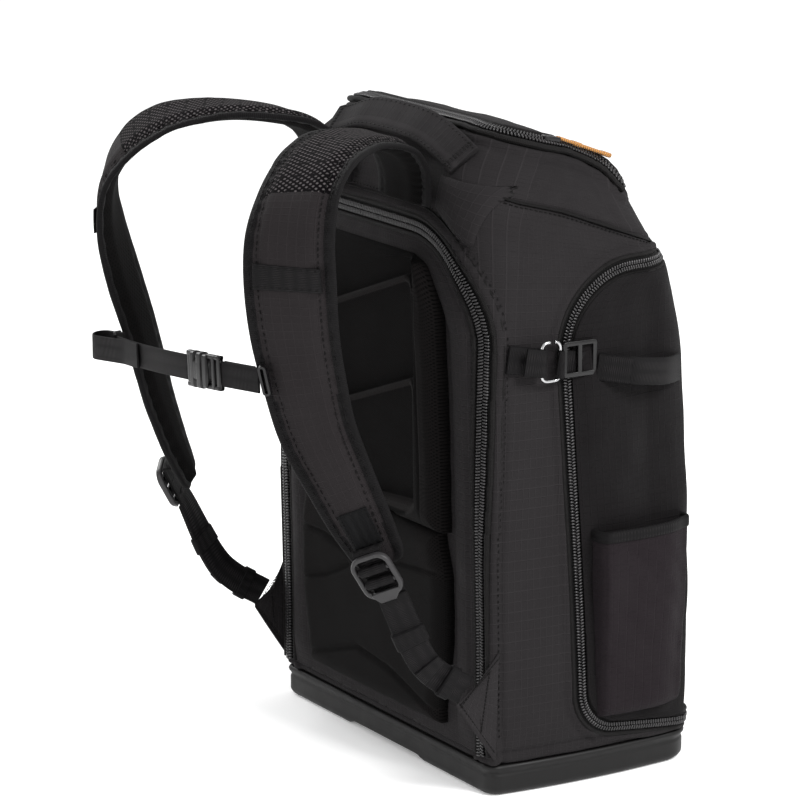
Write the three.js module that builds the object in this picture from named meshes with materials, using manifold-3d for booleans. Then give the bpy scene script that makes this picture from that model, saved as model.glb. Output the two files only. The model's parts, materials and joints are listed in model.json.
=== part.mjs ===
// Camera backpack standing on its base, in millimetres.
// X runs to the right as the harness side is seen, Y from the harness to the front, Z up.
// The origin is the middle of the base's underside.

import * as THREE from "three";
import { mergeVertices } from "three/addons/utils/BufferGeometryUtils.js";
import Module from "manifold-3d";

const wasm = await Module();
wasm.setup();

// Driving sizes of the bag
const bodyWidth = 314;
const bodyHeight = 494;
const bodyDepth = 184;
const topFall = 0.37; // how steeply the top slopes down towards the front, as a ratio
const topDome = 15;
const frontCorner = 26;
const backCorner = 14;
const sidePuff = 4;
const shellWall = 6;
const sewnGap = 0.3; // between pieces that are sewn together or lie on each other
const looseGap = 0.9; // between webbing and what it runs over in a curve

// Base tray
const trayHeight = 24;
const trayWall = 3;
const trayFloor = 10;
const trayChamfer = 6;
const footStep = 5;
const footNotchWidth = 104;
const footNotchDepth = 34;

// Zips
const zipTape = 13;
const zipProud = 1.6;
const pocketZipTape = 11;
const pocketZipProud = 2.4;

// Back panel
const doorHinge = 32;
const doorDrop = 69; // from the bag's height down to the back zip's top
const doorEdge = 12; // from the back zip's side runs to the bag's sides
const doorTop = bodyHeight - doorDrop;
const doorWidth = bodyWidth - 2 * doorEdge;
const doorCorner = 82;
const padDepth = 17;
const padWidth = 210;
const padBottom = 196;
const padDrop = 20; // from the back zip's top to the pad's
const padTop = doorTop - padDrop;
const padCorner = 52;
const troughWidth = 152;
const troughDepth = 12;
const ribRise = 52; // how far each rib climbs from one side of the trough to the other
const lumbarThickness = 14;
const lumbarWidth = 214;
const lumbarBottom = 44;

// Lid
const lidHinge = 48;
const lidEnd = -58;
const lidEdge = 44; // from the lid zip's side runs to the bag's sides
const lidWidth = bodyWidth - 2 * lidEdge;
const lidCorner = 34;
const pullWidth = 7;
const pullLength = 46;
const pullThickness = 3;
const pullFall = 0.14; // of the hanging pull against the zip, in radians
const sliderLength = 14;
const sliderWidth = 9;
const sliderHeight = 4;
const sliderLift = 3.2; // clears the zip where the lid's side curves

// Grab handle
const handleSpan = 188;
const handleMiddle = 9;
const handleArch = 15;
const handleWidth = 28;
const handleThickness = 4;

// Shoulder straps
const strapSpread = 132; // from the middle of the back to a strap's middle at its widest
const strapReach = 146; // how far a strap stands off the back
const strapWidth = 74;
const strapThickness = 12;
const strapTurn = 48; // how far a strap's face turns outwards, in degrees
const bandThickness = 1.6;
const labelLength = 24;
const labelWidth = 24;
const tabWidth = 44;
const tabDrop = 28; // from the bag's height down to the tab's upper corner
const tabHigh = bodyHeight - tabDrop;
const tabLow = tabHigh - 48;
const tabThickness = 3;

// Webbing and its hardware
const webWidth = 23;
const webThickness = 1.8;
const lockWidth = 32;
const lockHeight = 37;
const lockThickness = 5;
const lockBar = 4;
const lockOverlap = 20; // of the lock over the strap's tip
const sternumDrop = 152; // of the sternum strap's right ring under the bag's height
const sternumSlant = 20; // of the left ring under the right one
const sternumRight = bodyHeight - sternumDrop;
const sternumLeft = sternumRight - sternumSlant;
const sternumWeb = 19;
const buckleLength = 40;
const buckleWidth = 27;
const buckleThickness = 9;
const ringLength = 24;
const ringThickness = 6;
const ringDepth = 4.8;
const lowerSag = 15; // of the lower webbing under a straight line
const gussetTop = 116;
const gussetBottom = 30;
const gussetThickness = 2.4;

// Side strap and side pocket
const sideWeb = 21;
const sideStrapDrop = 165; // of the side strap under the bag's height
const sideStrapHeight = bodyHeight - sideStrapDrop;
const sideStrapFall = 18;
const sideStrapBow = 12; // of the front band off the side
const hookSpan = 19;
const hookWire = 2.6;
const glideLength = 30;
const glideThickness = 4;
const pocketBack = -30;
const pocketFront = 84;
const pocketZipBottom = 45;
const pocketZipDrop = 99; // of the side pocket zip's top under the bag's height
const pocketZipTop = bodyHeight - pocketZipDrop;
const pocketRim = 201;
const pocketMouth = 22;
const pocketWall = 2.2;
const gussetSkin = 2;

// Outline of the bag, a row for each level, from the tray's top to the crown.
// halfWidth, back and front are shares of half the bag's width and depth, height one of its height.
// fall is a share of the top's slope; rise is 0 on a wall and 1 on the crown; edge and corner are
// multiples of the back and front corner radii.
const bodySections = [
  { height: 0.053, halfWidth: 0.99, back: -0.985, front: 1.06, fall: 0, rise: 0, edge: 0.8, corner: 1 },
  { height: 0.12, halfWidth: 1.015, back: -0.99, front: 1.07, fall: 0, rise: 0, edge: 0.9, corner: 1 },
  { height: 0.24, halfWidth: 1.02, back: -0.995, front: 1.07, fall: 0, rise: 0, edge: 0.9, corner: 1 },
  { height: 0.37, halfWidth: 1.015, back: -1.01, front: 1.06, fall: 0, rise: 0, edge: 1, corner: 1.1 },
  { height: 0.5, halfWidth: 1.0, back: -1.025, front: 1.03, fall: 0, rise: 0, edge: 1.4, corner: 1.2 },
  { height: 0.62, halfWidth: 0.99, back: -1.05, front: 1.0, fall: 0, rise: 0, edge: 1.8, corner: 1.3 },
  { height: 0.72, halfWidth: 0.975, back: -1.08, front: 0.96, fall: 0.1, rise: 0, edge: 2.1, corner: 1.4 },
  { height: 0.8, halfWidth: 0.955, back: -1.095, front: 0.92, fall: 0.35, rise: 0, edge: 2.5, corner: 1.6 },
  { height: 0.85, halfWidth: 0.92, back: -1.08, front: 0.88, fall: 0.65, rise: 0.1, edge: 2.8, corner: 1.8 },
  { height: 0.901, halfWidth: 0.86, back: -1, front: 0.84, fall: 0.85, rise: 0.35, edge: 3.3, corner: 2.1 },
  { height: 0.944, halfWidth: 0.785, back: -0.83, front: 0.77, fall: 0.92, rise: 0.6, edge: 3.3, corner: 2.1 },
  { height: 0.972, halfWidth: 0.7, back: -0.66, front: 0.67, fall: 0.97, rise: 0.85, edge: 2.8, corner: 1.8 },
  { height: 0.984, halfWidth: 0.5, back: -0.4, front: 0.46, fall: 1, rise: 0.97, edge: 1.9, corner: 1.2 },
  { height: 0.987, halfWidth: 0.26, back: -0.2, front: 0.24, fall: 1, rise: 1, edge: 0.9, corner: 0.6 },
];

// Middle line of a shoulder strap from the yoke to its tip: out is a share of strapSpread, off of
// strapReach, height of bodyHeight, width of strapWidth and turn of strapTurn.
const strapSections = [
  { out: 0.43, off: 0, height: 0.898, width: 0.97, turn: 0 },
  { out: 0.435, off: 0.005, height: 0.933, width: 0.97, turn: 0 },
  { out: 0.46, off: 0.06, height: 0.967, width: 0.98, turn: 0 },
  { out: 0.51, off: 0.18, height: 0.992, width: 0.99, turn: 0 },
  { out: 0.61, off: 0.38, height: 1.005, width: 1, turn: 0.04 },
  { out: 0.74, off: 0.57, height: 1.005, width: 1, turn: 0.08 },
  { out: 0.89, off: 0.765, height: 0.989, width: 1, turn: 0.17 },
  { out: 1.0, off: 0.915, height: 0.953, width: 0.99, turn: 0.37 },
  { out: 1.06, off: 0.995, height: 0.897, width: 0.97, turn: 0.66 },
  { out: 1.055, off: 0.995, height: 0.826, width: 0.94, turn: 0.88 },
  { out: 1.01, off: 0.945, height: 0.745, width: 0.89, turn: 1 },
  { out: 0.98, off: 0.87, height: 0.663, width: 0.84, turn: 1 },
  { out: 0.985, off: 0.805, height: 0.596, width: 0.8, turn: 1 },
  { out: 1.035, off: 0.72, height: 0.531, width: 0.74, turn: 0.98 },
  { out: 1.09, off: 0.605, height: 0.453, width: 0.66, turn: 0.95 },
  { out: 1.125, off: 0.5, height: 0.392, width: 0.54, turn: 0.92 },
];

const arcSteps = 4; // faces in a quarter turn
const strapSteps = 30;
const group = new THREE.Group();

const vector = (x, y, z) => new THREE.Vector3(x, y, z);
const mix = (a, b, share) => a + (b - a) * share;
const smooth = (a, b, value) => THREE.MathUtils.smoothstep(value, a, b);

// Materials
const finish = (color, roughness, metalness = 0) =>
  new THREE.MeshStandardMaterial({ color, roughness, metalness });
const ripstop = finish(0x2b2829, 0.85);
const padMesh = finish(0x1f1d1e, 0.95);
const webbing = finish(0x262324, 0.8);
const moulded = finish(0x2a2828, 0.6);
const zipCoil = finish(0x3a3839, 0.5);
const blackPlastic = finish(0x151515, 0.45);
const greyPlastic = finish(0x5c5b5d, 0.5);
const steel = finish(0xd8d8d8, 0.25, 1);
const amberCord = finish(0xb37420, 0.6);
const labelFabric = finish(0x18171a, 0.7);

function addMesh(name, geometry, material, parent = group) {
  const mesh = new THREE.Mesh(geometry, material);
  mesh.name = name;
  parent.add(mesh);
  return mesh;
}

// Closed surface through rings of equally many points, each ring anticlockwise seen from the next.
function loft(rings) {
  const count = rings[0].length;
  const middleOf = (ring) =>
    ring.reduce((sum, p) => sum.add(p), vector(0, 0, 0)).divideScalar(count);
  const points = [...rings.flat(), middleOf(rings[0]), middleOf(rings.at(-1))];
  const start = rings.length * count;
  const faces = [];
  for (let i = 0; i < count; i += 1) {
    const j = (i + 1) % count;
    for (let k = 0; k + 1 < rings.length; k += 1) {
      const low = k * count;
      const high = low + count;
      faces.push(low + i, low + j, high + j, low + i, high + j, high + i);
    }
    faces.push(start, j, i);
    faces.push(start + 1, start - count + i, start - count + j);
  }
  const geometry = new THREE.BufferGeometry().setFromPoints(points);
  geometry.setIndex(faces);
  geometry.computeVertexNormals();
  return geometry;
}

function solidOf(geometry) {
  const bare = geometry.clone();
  bare.deleteAttribute("normal");
  bare.deleteAttribute("uv");
  const merged = mergeVertices(bare, 1e-4);
  const vertProperties = new Float32Array(merged.attributes.position.array);
  const triVerts = new Uint32Array(merged.index.array);
  return new wasm.Manifold(new wasm.Mesh({ numProp: 3, vertProperties, triVerts }));
}

function geometryOf(solid) {
  const mesh = solid.getMesh();
  const geometry = new THREE.BufferGeometry();
  geometry.setAttribute("position", new THREE.BufferAttribute(mesh.vertProperties, 3));
  geometry.setIndex(new THREE.BufferAttribute(mesh.triVerts, 1));
  geometry.computeVertexNormals();
  return geometry;
}

// Geometry seen in the bag's middle plane
function mirrored(geometry) {
  const copy = geometry.clone();
  copy.scale(-1, 1, 1);
  const index = copy.index.array;
  for (let i = 0; i < index.length; i += 3) {
    [index[i + 1], index[i + 2]] = [index[i + 2], index[i + 1]];
  }
  copy.computeVertexNormals();
  return copy;
}

// How far a row's level drops at a place from back to front
function slopeAt(row, y) {
  const dome = row.rise * topDome * (y / (bodyDepth / 2)) ** 2;
  return row.fall * topFall * y + dome;
}

// The bag's outline at one row, moved outwards by grow (inwards where it is negative)
function bodyRing(row, grow) {
  const flat = 1 - row.rise * row.rise;
  const out = grow * flat;
  const halfWidth = (row.halfWidth * bodyWidth) / 2 + out;
  const back = (row.back * bodyDepth) / 2 - out;
  const front = (row.front * bodyDepth) / 2 + out;
  const level = row.height * bodyHeight + grow * row.rise;
  const small = Math.max(backCorner * row.edge + out, 2);
  const large = Math.max(frontCorner * row.corner + out, 4);
  const corners = [
    { x: halfWidth - small, y: back + small, radius: small, from: -90 },
    { x: halfWidth - large, y: front - large, radius: large, from: 0 },
    { x: large - halfWidth, y: front - large, radius: large, from: 90 },
    { x: small - halfWidth, y: back + small, radius: small, from: 180 },
  ];
  const ring = [];
  corners.forEach((corner, k) => {
    for (let i = 0; i <= arcSteps; i += 1) {
      const angle = THREE.MathUtils.degToRad(corner.from + (90 * i) / arcSteps);
      const x = corner.x + corner.radius * Math.cos(angle);
      const y = corner.y + corner.radius * Math.sin(angle);
      ring.push(vector(x, y, 0));
    }
    if (k === 3) return;
    const here = ring.at(-1);
    const next = corners[k + 1];
    const turn = THREE.MathUtils.degToRad(next.from);
    const there = vector(next.x + next.radius * Math.cos(turn), next.y + next.radius * Math.sin(turn), 0);
    const outwards = vector(Math.cos(turn), Math.sin(turn), 0);
    for (let i = 1; i < arcSteps; i += 1) {
      const share = i / arcSteps;
      const puff = sidePuff * 4 * share * (1 - share) * flat;
      ring.push(here.clone().lerp(there, share).addScaledVector(outwards, puff));
    }
  });
  ring.forEach((p) => {
    p.z = level - slopeAt(row, p.y);
  });
  return ring;
}

// Inside the tray the bag steps in by the tray's wall.
const traySeat = trayWall + sewnGap;
const footRow = bodySections[0];
const seatRing = (level, grow, inset) => {
  const ring = bodyRing(footRow, grow - inset);
  ring.forEach((p) => {
    p.z = level;
  });
  return ring;
};

function bodySolid(grow) {
  const floor = trayFloor + sewnGap - grow;
  const ledge = trayHeight + sewnGap - grow;
  const rings = [
    seatRing(floor, grow, traySeat),
    seatRing(ledge, grow, traySeat),
    seatRing(ledge + 0.01, grow, 0),
    ...bodySections.slice(1).map((row) => bodyRing(row, grow)),
  ];
  return solidOf(loft(rings));
}

// Where the flat of the back is at a height, between the rows of the outline
function backAt(height) {
  const rows = bodySections.map((row) => {
    const y = (row.back * bodyDepth) / 2;
    return { y, z: row.height * bodyHeight - slopeAt(row, y) };
  });
  let i = 0;
  while (i + 2 < rows.length && rows[i + 1].z < height) i += 1;
  const share = (height - rows[i].z) / (rows[i + 1].z - rows[i].z);
  return mix(rows[i].y, rows[i + 1].y, share);
}

// A flap's outline in (across, along), square at its hinge and rounded at its free end
function flapOutline(flap, grow, hingeGrow = grow) {
  const way = Math.sign(flap.end - flap.hinge);
  const end = flap.end + way * grow;
  const low = flap.low - grow;
  const high = flap.high + grow;
  const steps = 3 * arcSteps;
  const points = [new THREE.Vector2(low, flap.hinge - way * hingeGrow)];
  const turn = (radius, x, side) => {
    for (let i = 0; i <= steps; i += 1) {
      const angle = (Math.PI / 2) * (side < 0 ? 1 - i / steps : i / steps);
      const across = x + side * radius * Math.sin(angle);
      points.push(new THREE.Vector2(across, end - way * radius * (1 - Math.cos(angle))));
    }
  };
  turn(flap.lowCorner + grow, low + flap.lowCorner + grow, -1);
  turn(flap.highCorner + grow, high - flap.highCorner - grow, 1);
  points.push(new THREE.Vector2(high, flap.hinge - way * hingeGrow));
  return points;
}

// Prisms through the bag's surface, from an outline in (X, Z) on the back, (X, Y) on the top or
// (Y, Z) on the side.
const extrude = (points, depth) =>
  new THREE.ExtrudeGeometry(new THREE.Shape(points), { depth, bevelEnabled: false });
function backPrism(points, inside, outside) {
  const lean = Math.atan2(backAt(doorHinge) - backAt(doorTop), doorTop - doorHinge);
  const geometry = extrude(points, outside + inside);
  geometry.rotateX(Math.PI / 2);
  geometry.translate(0, inside, -doorHinge);
  geometry.rotateX(lean);
  geometry.translate(0, backAt(doorHinge), doorHinge);
  return solidOf(geometry);
}
function topPrism(points) {
  const geometry = extrude(points, bodyHeight);
  geometry.translate(0, 0, bodyHeight / 2);
  return solidOf(geometry);
}
function sidePrism(points) {
  const geometry = extrude(points, bodyWidth);
  geometry.rotateX(Math.PI / 2);
  geometry.rotateZ(Math.PI / 2);
  return solidOf(geometry);
}
const skin = (inner, outer) => bodySolid(outer).subtract(bodySolid(inner));

// Flat section that follows a list of frames, each with a middle, an across direction and a normal
function sweep(frames, section) {
  return loft(
    frames.map((frame) =>
      section.map(([x, y]) =>
        frame.middle
          .clone()
          .addScaledVector(frame.across, (x * frame.width) / 2)
          .addScaledVector(frame.normal, (y * frame.thickness) / 2),
      ),
    ),
  );
}
const bandSection = [[1, -1], [1, 1], [-1, 1], [-1, -1]];
const padSection = Array.from({ length: 12 }, (_, i) => {
  const angle = (Math.PI * (i + 0.5)) / 6;
  const soften = (value, power) => Math.sign(value) * Math.abs(value) ** power;
  return [soften(Math.cos(angle), 0.45), soften(Math.sin(angle), 0.7)];
});

function frameOf(middle, tangent, across, width, thickness) {
  const along = tangent.clone().normalize();
  const side = across.clone().addScaledVector(along, -across.dot(along)).normalize();
  const normal = along.clone().cross(side);
  return { middle, along, across: side, normal, width, thickness };
}

// Strap band along a few points, its across direction turning from the first to the last
function ribbon(points, firstAcross, lastAcross, width, thickness, steps) {
  const curve = new THREE.CatmullRomCurve3(points, false, "centripetal");
  const frames = [];
  for (let i = 0; i <= steps; i += 1) {
    const t = i / steps;
    const across = firstAcross.clone().lerp(lastAcross, smooth(0.3, 1, t));
    frames.push(frameOf(curve.getPoint(t), curve.getTangent(t), across, width, thickness));
  }
  return sweep(frames, bandSection);
}

// Body
const door = {
  hinge: doorHinge,
  end: doorTop,
  low: -doorWidth / 2,
  high: doorWidth / 2,
  lowCorner: doorCorner,
  highCorner: doorCorner,
};
const lidFlap = {
  hinge: lidHinge,
  end: lidEnd,
  low: -lidWidth / 2,
  high: lidWidth / 2,
  lowCorner: lidCorner,
  highCorner: lidCorner,
};
const zipHalf = zipTape / 2;
const doorInside = 17;
const doorOutside = 60;
const doorPrism = (grow, hingeGrow, inside = doorInside) =>
  backPrism(flapOutline(door, grow, hingeGrow), inside, doorOutside);
const lidPrism = (grow, hingeGrow) => topPrism(flapOutline(lidFlap, grow, hingeGrow));

const wallSolid = skin(-shellWall, 0);
const doorOpening = doorPrism(zipHalf + sewnGap, sewnGap, doorInside + sewnGap);
const lidOpening = lidPrism(zipHalf + sewnGap, sewnGap);
addMesh("main_shell", geometryOf(wallSolid.subtract(doorOpening).subtract(lidOpening)), ripstop);

const backDoor = wallSolid.intersect(doorPrism(-zipHalf - sewnGap, 0));
addMesh("back_door", geometryOf(backDoor), ripstop);
const zipSolid = skin(-shellWall, zipProud);
const backZip = zipSolid.intersect(doorPrism(zipHalf, 0)).subtract(doorPrism(-zipHalf, bodyHeight));
addMesh("back_zip", geometryOf(backZip), zipCoil);

const lid = wallSolid.intersect(lidPrism(-zipHalf - sewnGap, 0));
addMesh("lid", geometryOf(lid), ripstop);
const lidZip = zipSolid.intersect(lidPrism(zipHalf, 0)).subtract(lidPrism(-zipHalf, bodyHeight));
addMesh("lid_zip", geometryOf(lidZip), zipCoil);

// Base tray: a cup that the bag's foot stands in, notched under its back edge between two feet
function baseTray() {
  const outside = [
    seatRing(0, 0, trayChamfer),
    seatRing(trayChamfer, 0, 0),
    seatRing(trayHeight, 0, 0),
  ];
  const hollow = [
    seatRing(trayFloor, 0, trayWall),
    seatRing(2 * trayHeight, 0, trayWall),
  ];
  const half = footNotchWidth / 2;
  const notch = extrude(
    [
      new THREE.Vector2(-half - 2 * footStep, -footStep),
      new THREE.Vector2(half + 2 * footStep, -footStep),
      new THREE.Vector2(half, footStep),
      new THREE.Vector2(-half, footStep),
    ],
    2 * footNotchDepth,
  );
  notch.rotateX(Math.PI / 2);
  notch.translate(0, (footRow.back * bodyDepth) / 2 + footNotchDepth, 0);
  return solidOf(loft(outside)).subtract(solidOf(loft(hollow))).subtract(solidOf(notch));
}
addMesh("base_tray", geometryOf(baseTray()), moulded);

// Where a ray meets the bag, grown a little; gives the point and the way the surface faces
const bodyTarget = new THREE.Mesh(geometryOf(bodySolid(0)));
bodyTarget.updateMatrixWorld(true);
function surfaceAt(from, direction) {
  const hit = new THREE.Raycaster(from, direction).intersectObject(bodyTarget)[0];
  return { point: hit.point, normal: hit.face.normal.clone() };
}
const onSide = (y, z) => surfaceAt(vector(bodyWidth, y, z), vector(-1, 0, 0));
const onTop = (x, y) => surfaceAt(vector(x, y, 2 * bodyHeight), vector(0, 0, -1));

// Padded panel on the back door, a ring of points for each level; thickness is worked out for each point
function backPanel(levels, columns, halfWidthAt, thicknessAt, liftAt) {
  const rings = levels.map((level) => {
    const half = halfWidthAt(level);
    const outer = [];
    for (let i = 0; i <= columns; i += 1) {
      const x = half * (2 * (i / columns) - 1);
      const z = level + liftAt(x, level);
      outer.push(vector(x, backAt(z) - 2 * sewnGap - thicknessAt(x, level), z));
    }
    const inner = backAt(level) - 2 * sewnGap;
    return [...outer, vector(half, inner, level), vector(-half, inner, level)];
  });
  return loft(rings);
}
const cornered = (half, radius, inset) =>
  half - radius + Math.sqrt(Math.max(radius ** 2 - Math.max(radius - inset, 0) ** 2, 0));
const roundedEdge = (distance, radius) => Math.sqrt(1 - (1 - Math.min(distance / radius, 1)) ** 2);

// Upper pad, with a trough down its middle whose floor steps in slanting ribs
const ribLevels = [0.05, 0.43, 0.81].map((share) => mix(padBottom, padTop, share));
const padRound = 12;
const padEdge = 3;
function troughHalf(level) {
  const share = (level - padBottom) / (padTop - padBottom);
  return (troughWidth / 2) * smooth(-0.02, 0.3, share) * mix(0.72, 1.06, smooth(0.1, 0.75, share));
}
function padHalf(level) {
  return cornered(padWidth / 2, padCorner, padTop - level + padEdge);
}
function padThickness(x, level) {
  const edge = Math.min(padHalf(level) - Math.abs(x), level - padBottom, padTop - level);
  const full = mix(padEdge, padDepth, roundedEdge(edge + 0.5, padRound));
  const above = ribLevels.filter((rib) => rib >= level - 0.01)[0] ?? padTop + ribLevels[0];
  const drop = Math.min((above - level) / (ribLevels[1] - ribLevels[0]), 1);
  const half = troughHalf(level);
  const inTrough = 1 - smooth(half - 7, half + 7, Math.abs(x));
  return full - Math.min(troughDepth, full - padEdge) * inTrough * mix(0.45, 1, drop);
}
function ribLift(x, level) {
  const near = 1 - smooth(troughWidth * 0.45, padWidth * 0.49, Math.abs(x));
  const inside = smooth(0, 32, level - padBottom) * smooth(0, 26, padTop - level);
  return (ribRise / troughWidth) * x * near * inside;
}
const ribStep = 7;
const padLevels = [
  padBottom,
  padBottom + padRound * 0.4,
  ...ribLevels.flatMap((rib) => [rib, rib + ribStep, rib + ribStep * 4]),
  padTop - padRound * 1.8,
  padTop - padRound,
  padTop - padRound * 0.4,
  padTop,
].sort((a, b) => a - b);
addMesh("back_pad", backPanel(padLevels, 20, padHalf, padThickness, ribLift), padMesh);

// Lumbar pad under it, crowned, with a crease across
const lumbarTop = padBottom - 2 * sewnGap;
const lumbarCrease = mix(lumbarBottom, lumbarTop, 0.64);
const lumbarRound = 14;
function lumbarHalf(level) {
  const share = (level - lumbarBottom) / (lumbarTop - lumbarBottom);
  return (lumbarWidth / 2) * mix(0.9, 1, smooth(0, 0.5, share)) * mix(1, 0.92, smooth(0.75, 1, share));
}
function lumbarDepth(x, level) {
  const edge = Math.min(lumbarHalf(level) - Math.abs(x), level - lumbarBottom, lumbarTop - level);
  const full = mix(padEdge, lumbarThickness, roundedEdge(edge + 0.5, lumbarRound));
  const crease = 1 - smooth(0, 7, Math.abs(level - lumbarCrease));
  return full - 0.3 * (full - padEdge) * crease;
}
const lumbarLevels = [
  lumbarBottom,
  lumbarBottom + lumbarRound * 0.35,
  lumbarBottom + lumbarRound,
  mix(lumbarBottom, lumbarCrease, 0.6),
  lumbarCrease - 8,
  lumbarCrease,
  lumbarCrease + 8,
  lumbarTop - lumbarRound,
  lumbarTop - lumbarRound * 0.35,
  lumbarTop,
];
const noLift = () => 0;
addMesh("lumbar_pad", backPanel(lumbarLevels, 16, lumbarHalf, lumbarDepth, noLift), padMesh);

// Grab handle: a band sewn to the yoke at both ends, arched over it
const handleLine = -0.445 * bodyDepth;
const handleOff = sewnGap + handleThickness / 2 + 1;
function handlePoint(share, lift) {
  const { point, normal } = onTop(handleMiddle + (share * handleSpan) / 2, handleLine);
  return point.addScaledVector(normal, handleOff).add(vector(0, 0, lift));
}
const handlePoints = [
  handlePoint(-1, 0),
  handlePoint(-0.8, handleArch * 0.25),
  handlePoint(-0.45, handleArch * 0.85),
  handlePoint(0, handleArch),
  handlePoint(0.45, handleArch * 0.85),
  handlePoint(0.8, handleArch * 0.25),
  handlePoint(1, 0),
];
const handleNormal = onTop(0, handleLine).normal;
const handleAcross = vector(0, handleNormal.z, -handleNormal.y);
addMesh(
  "grab_handle",
  ribbon(handlePoints, handleAcross, handleAcross, handleWidth, handleThickness, 20),
  webbing,
);

// Slider and cord pull on the right run of the lid zip
const sliderY = mix(lidEnd, lidHinge, 0.4);
const zipAt = (y) => onTop(lidWidth / 2, y);
const sliderSeat = zipAt(sliderY);
const zipSlope = zipAt(sliderY + sliderLength).point.sub(zipAt(sliderY - sliderLength).point).normalize();
const sliderUp = vector(1, 0, 0).cross(zipSlope).normalize();
const tilt = new THREE.Group();
tilt.quaternion.setFromRotationMatrix(new THREE.Matrix4().makeBasis(vector(1, 0, 0), zipSlope, sliderUp));
tilt.position.copy(sliderSeat.point).addScaledVector(sliderUp, zipProud + sliderLift);
group.add(tilt);
const slider = addMesh(
  "lid_slider",
  new THREE.BoxGeometry(sliderWidth, sliderLength, sliderHeight),
  blackPlastic,
  tilt,
);
slider.position.z = sliderHeight / 2;
const pullShape = new THREE.Shape();
const pullRadius = pullWidth / 2;
pullShape.absarc(0, pullLength - pullRadius, pullRadius, 0, Math.PI, false);
pullShape.absarc(0, pullRadius, pullRadius, Math.PI, 2 * Math.PI, false);
const pullEye = new THREE.Path();
pullEye.absarc(0, pullLength * 0.6, pullRadius * 0.35, 0, Math.PI, false);
pullEye.absarc(0, pullRadius, pullRadius * 0.35, Math.PI, 2 * Math.PI, false);
pullShape.holes.push(pullEye);
const pull = addMesh(
  "lid_pull",
  new THREE.ExtrudeGeometry(pullShape, { depth: pullThickness, bevelEnabled: false, curveSegments: 6 }),
  amberCord,
  tilt,
);
pull.position.set(-pullRadius, sliderLength / 2 + 2 * sewnGap, sliderHeight / 2);
pull.rotation.x = -pullFall;

// Shoulder straps
const strapFoot = strapSections[0].height * bodyHeight;
const footY = Math.min(backAt(strapFoot), backAt(strapFoot - strapThickness));
const yokeY = footY - 2 * sewnGap - strapThickness / 2;
const strapPoints = strapSections.map((row) => {
  const out = row.out * strapSpread;
  return vector(out, yokeY - row.off * strapReach, row.height * bodyHeight);
});
const strapCurve = new THREE.CatmullRomCurve3(strapPoints, false, "centripetal");
const sizeCurve = new THREE.CatmullRomCurve3(
  strapSections.map((row) => vector(row.width * strapWidth, row.turn * strapTurn, row.off)),
);
const acrossAt = (degrees) => {
  const angle = THREE.MathUtils.degToRad(degrees);
  return vector(Math.cos(angle), Math.sin(angle), 0);
};
function strapFrame(t) {
  const size = sizeCurve.getPoint(t);
  const middle = strapCurve.getPoint(t);
  return frameOf(middle, strapCurve.getTangent(t), acrossAt(size.y), size.x, strapThickness);
}
const strapFrames = [];
for (let i = 0; i <= strapSteps; i += 1) strapFrames.push(strapFrame(i / strapSteps));

// A point given in a strap frame: across its width, along it and out from its face
const inFrame = (frame, across, along, out) =>
  frame.middle
    .clone()
    .addScaledVector(frame.across, across)
    .addScaledVector(frame.along, along)
    .addScaledVector(frame.normal, out);

// Thin band laid on a strap's outer face between two places on its length
function strapBand(from, to, width, gap) {
  const frames = [];
  for (let i = 0; i <= 4; i += 1) {
    const frame = strapFrame(mix(from, to, i / 4));
    frame.middle = inFrame(frame, 0, 0, strapThickness / 2 + gap + bandThickness / 2);
    frame.width = frame.width * width;
    frame.thickness = bandThickness;
    frames.push(frame);
  }
  return sweep(frames, bandSection);
}

// A flat frame with rounded corners and a row of windows between its bars, from x or y = 0 on
function barFrame({ wide, tall, corner, bar, windows, depth }) {
  const outline = new THREE.Shape();
  outline.absarc(wide / 2 - corner, tall - corner, corner, 0, Math.PI / 2, false);
  outline.absarc(corner - wide / 2, tall - corner, corner, Math.PI / 2, Math.PI, false);
  outline.absarc(corner - wide / 2, corner, corner, Math.PI, 1.5 * Math.PI, false);
  outline.absarc(wide / 2 - corner, corner, corner, 1.5 * Math.PI, 2 * Math.PI, false);
  const settings = { depth, bevelEnabled: false, curveSegments: 4 };
  let solid = solidOf(new THREE.ExtrudeGeometry(outline, settings));
  const clear = (tall - (windows + 1) * bar) / windows;
  for (let i = 0; i < windows; i += 1) {
    const hole = new THREE.BoxGeometry(wide - 2 * bar, clear, 3 * depth);
    hole.translate(0, bar + clear / 2 + i * (clear + bar), 0);
    solid = solid.subtract(solidOf(hole));
  }
  return geometryOf(solid);
}
function ladderLock() {
  const size = { wide: lockWidth, tall: lockHeight, corner: 6, bar: lockBar, windows: 3 };
  const geometry = barFrame({ ...size, depth: lockThickness });
  geometry.translate(0, -lockHeight / 2, -lockThickness / 2);
  return geometry;
}

// Where the lower webbing ends: a gusset sewn into the corner seam
const seamY = (footRow.back * bodyDepth) / 2 + backCorner * 0.4;
const gussetOff = sewnGap + gussetThickness / 2 + 0.3;
const gussetSeat = (z) => onSide(seamY, z).point.add(vector(gussetOff, -gussetOff, 0));
const gussetHigh = gussetSeat(gussetTop);
const gussetLow = gussetSeat(gussetBottom);
function gussetCorner(out, off, share) {
  const z = mix(gussetBottom, gussetTop, share);
  return vector(gussetHigh.x + out * webWidth, gussetHigh.y + off * webWidth, z);
}
const webEndHigh = gussetCorner(-0.28, -0.64, 0.72);
const webEndLow = gussetCorner(-0.28, -1.44, 0.57);
const webEnd = webEndHigh.clone().add(webEndLow).multiplyScalar(0.5);
const webEndAcross = webEndHigh.clone().sub(webEndLow).normalize();

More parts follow.
